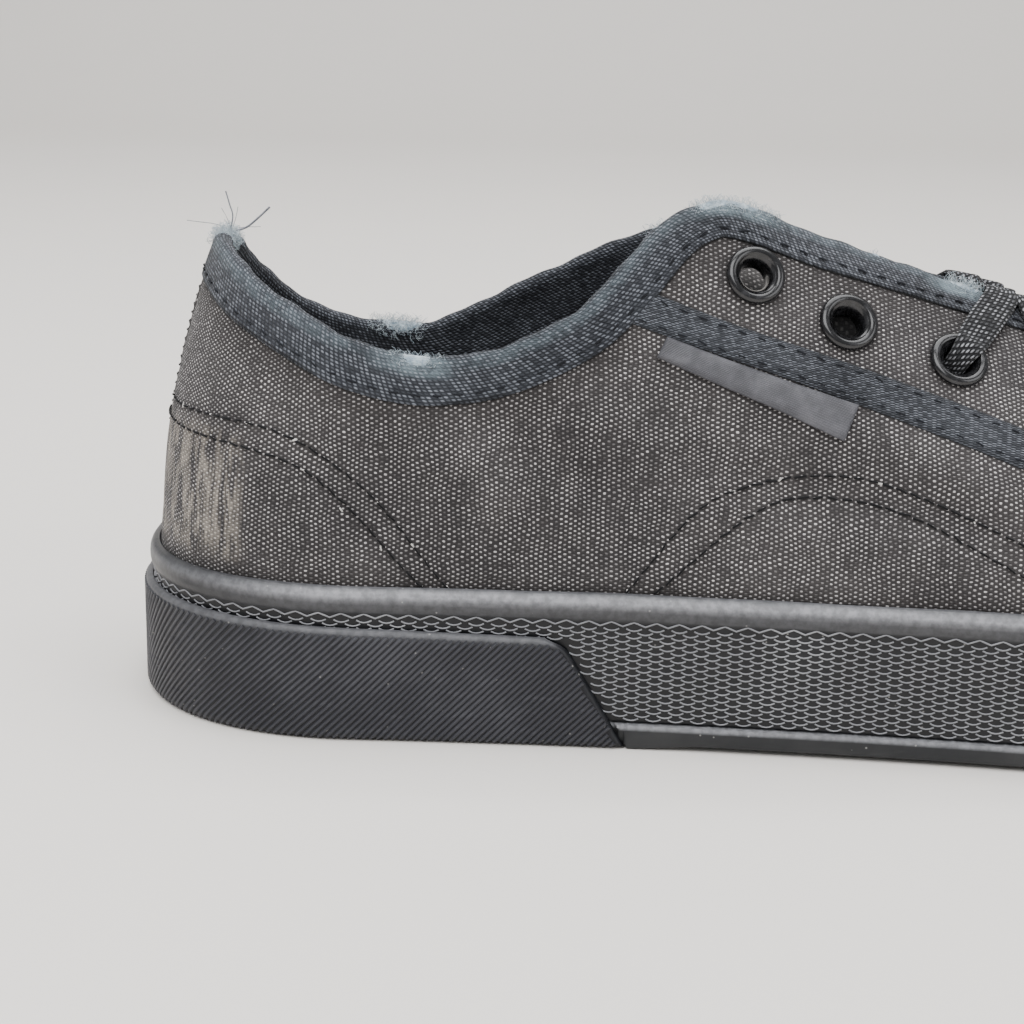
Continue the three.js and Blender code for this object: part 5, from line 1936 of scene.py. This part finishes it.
def makeStage():
    mesh = bpy.data.meshes.new("floor")
    bend = [(1.6 + 0.7 * math.sin(t), 0.7 - 0.7 * math.cos(t)) for t in np.linspace(0, math.pi / 2, 13)]
    line = [(-4.0, 0.0)] + bend + [(2.3, 4.0)]
    points = [(x, y, z) for y, z in line for x in (-5, 5)]
    faces = [(2 * i, 2 * i + 1, 2 * i + 3, 2 * i + 2) for i in range(len(line) - 1)]
    mesh.from_pydata(points, [], faces)
    mesh.shade_smooth()
    floor = bpy.data.objects.new("floor", mesh)
    bpy.context.scene.collection.objects.link(floor)
    material, tree, shader, place, cloth = newMaterial("pale_floor", 0.75)
    soft = useGroup(tree, fadeGroup, Place=place, Size=6.0, Low=0.3, High=0.7)["Mask"]
    tree.links.new(blendColour(tree, calc(tree, "MULTIPLY", soft, 0.06), studio["floor"],
                               tone(205, 204, 202)),
                   shader.inputs["Base Color"])
    mesh.materials.append(material)
    world = bpy.data.worlds.new("studio")
    bpy.context.scene.world = world
    world.use_nodes = True
    world.node_tree.nodes["Background"].inputs[0].default_value = (0.93, 0.94, 0.96, 1)
    world.node_tree.nodes["Background"].inputs[1].default_value = studio["world"]


def addLight(name, place, aim, size, power):
    light = bpy.data.lights.new(name, "AREA")
    light.shape = "RECTANGLE"
    light.size, light.size_y = size
    light.energy = power
    lamp = bpy.data.objects.new(name, light)
    bpy.context.scene.collection.objects.link(lamp)
    lamp.location = place
    away = np.array(place) - np.array(aim)
    lamp.rotation_euler = directionTurn(away)


def directionTurn(away):
    return Vector(away).to_track_quat("Z", "Y").to_euler()


view = {"place": (66.7, -332.0, 115.0), "focal": 66.8, "sensor": 36.0, "pitch": 14.4, "roll": 1.2}


def makeCamera():
    data = bpy.data.cameras.new("studioCamera")
    camera = bpy.data.objects.new("studioCamera", data)
    bpy.context.scene.collection.objects.link(camera)
    data.sensor_width = view["sensor"]
    data.lens = view["focal"]
    data.clip_start = 0.01
    camera.location = placed(view["place"]).tolist()
    p, r = math.radians(view["pitch"]), math.radians(view["roll"])
    forward = np.array([0, math.cos(p), -math.sin(p)])
    level = np.array([1.0, 0, 0])
    high = np.cross(level, forward)
    right = level * math.cos(r) + high * math.sin(r)
    up = np.cross(right, forward)
    turn = Matrix((right, up, -forward)).transposed()
    camera.rotation_euler = turn.to_euler()
    bpy.context.scene.camera = camera


makeStage()
addLight("key", (-0.35, -0.65, 0.9), (0, 0, 0.03), (0.9, 0.7), studio["keyPower"])
addLight("fill", (0.8, -0.6, 0.5), (0, 0, 0.04), (0.6, 0.6), studio["fillPower"])
addLight("overhead", (0.05, 0.1, 1.15), (0, 0, 0.05), (1.3, 0.8), studio["overPower"])
addLight("wallWash", (0, 0.9, 2.0), (0, 2.3, 0.9), (2.0, 0.5), studio["wallPower"])
makeCamera()
print("studio: done")
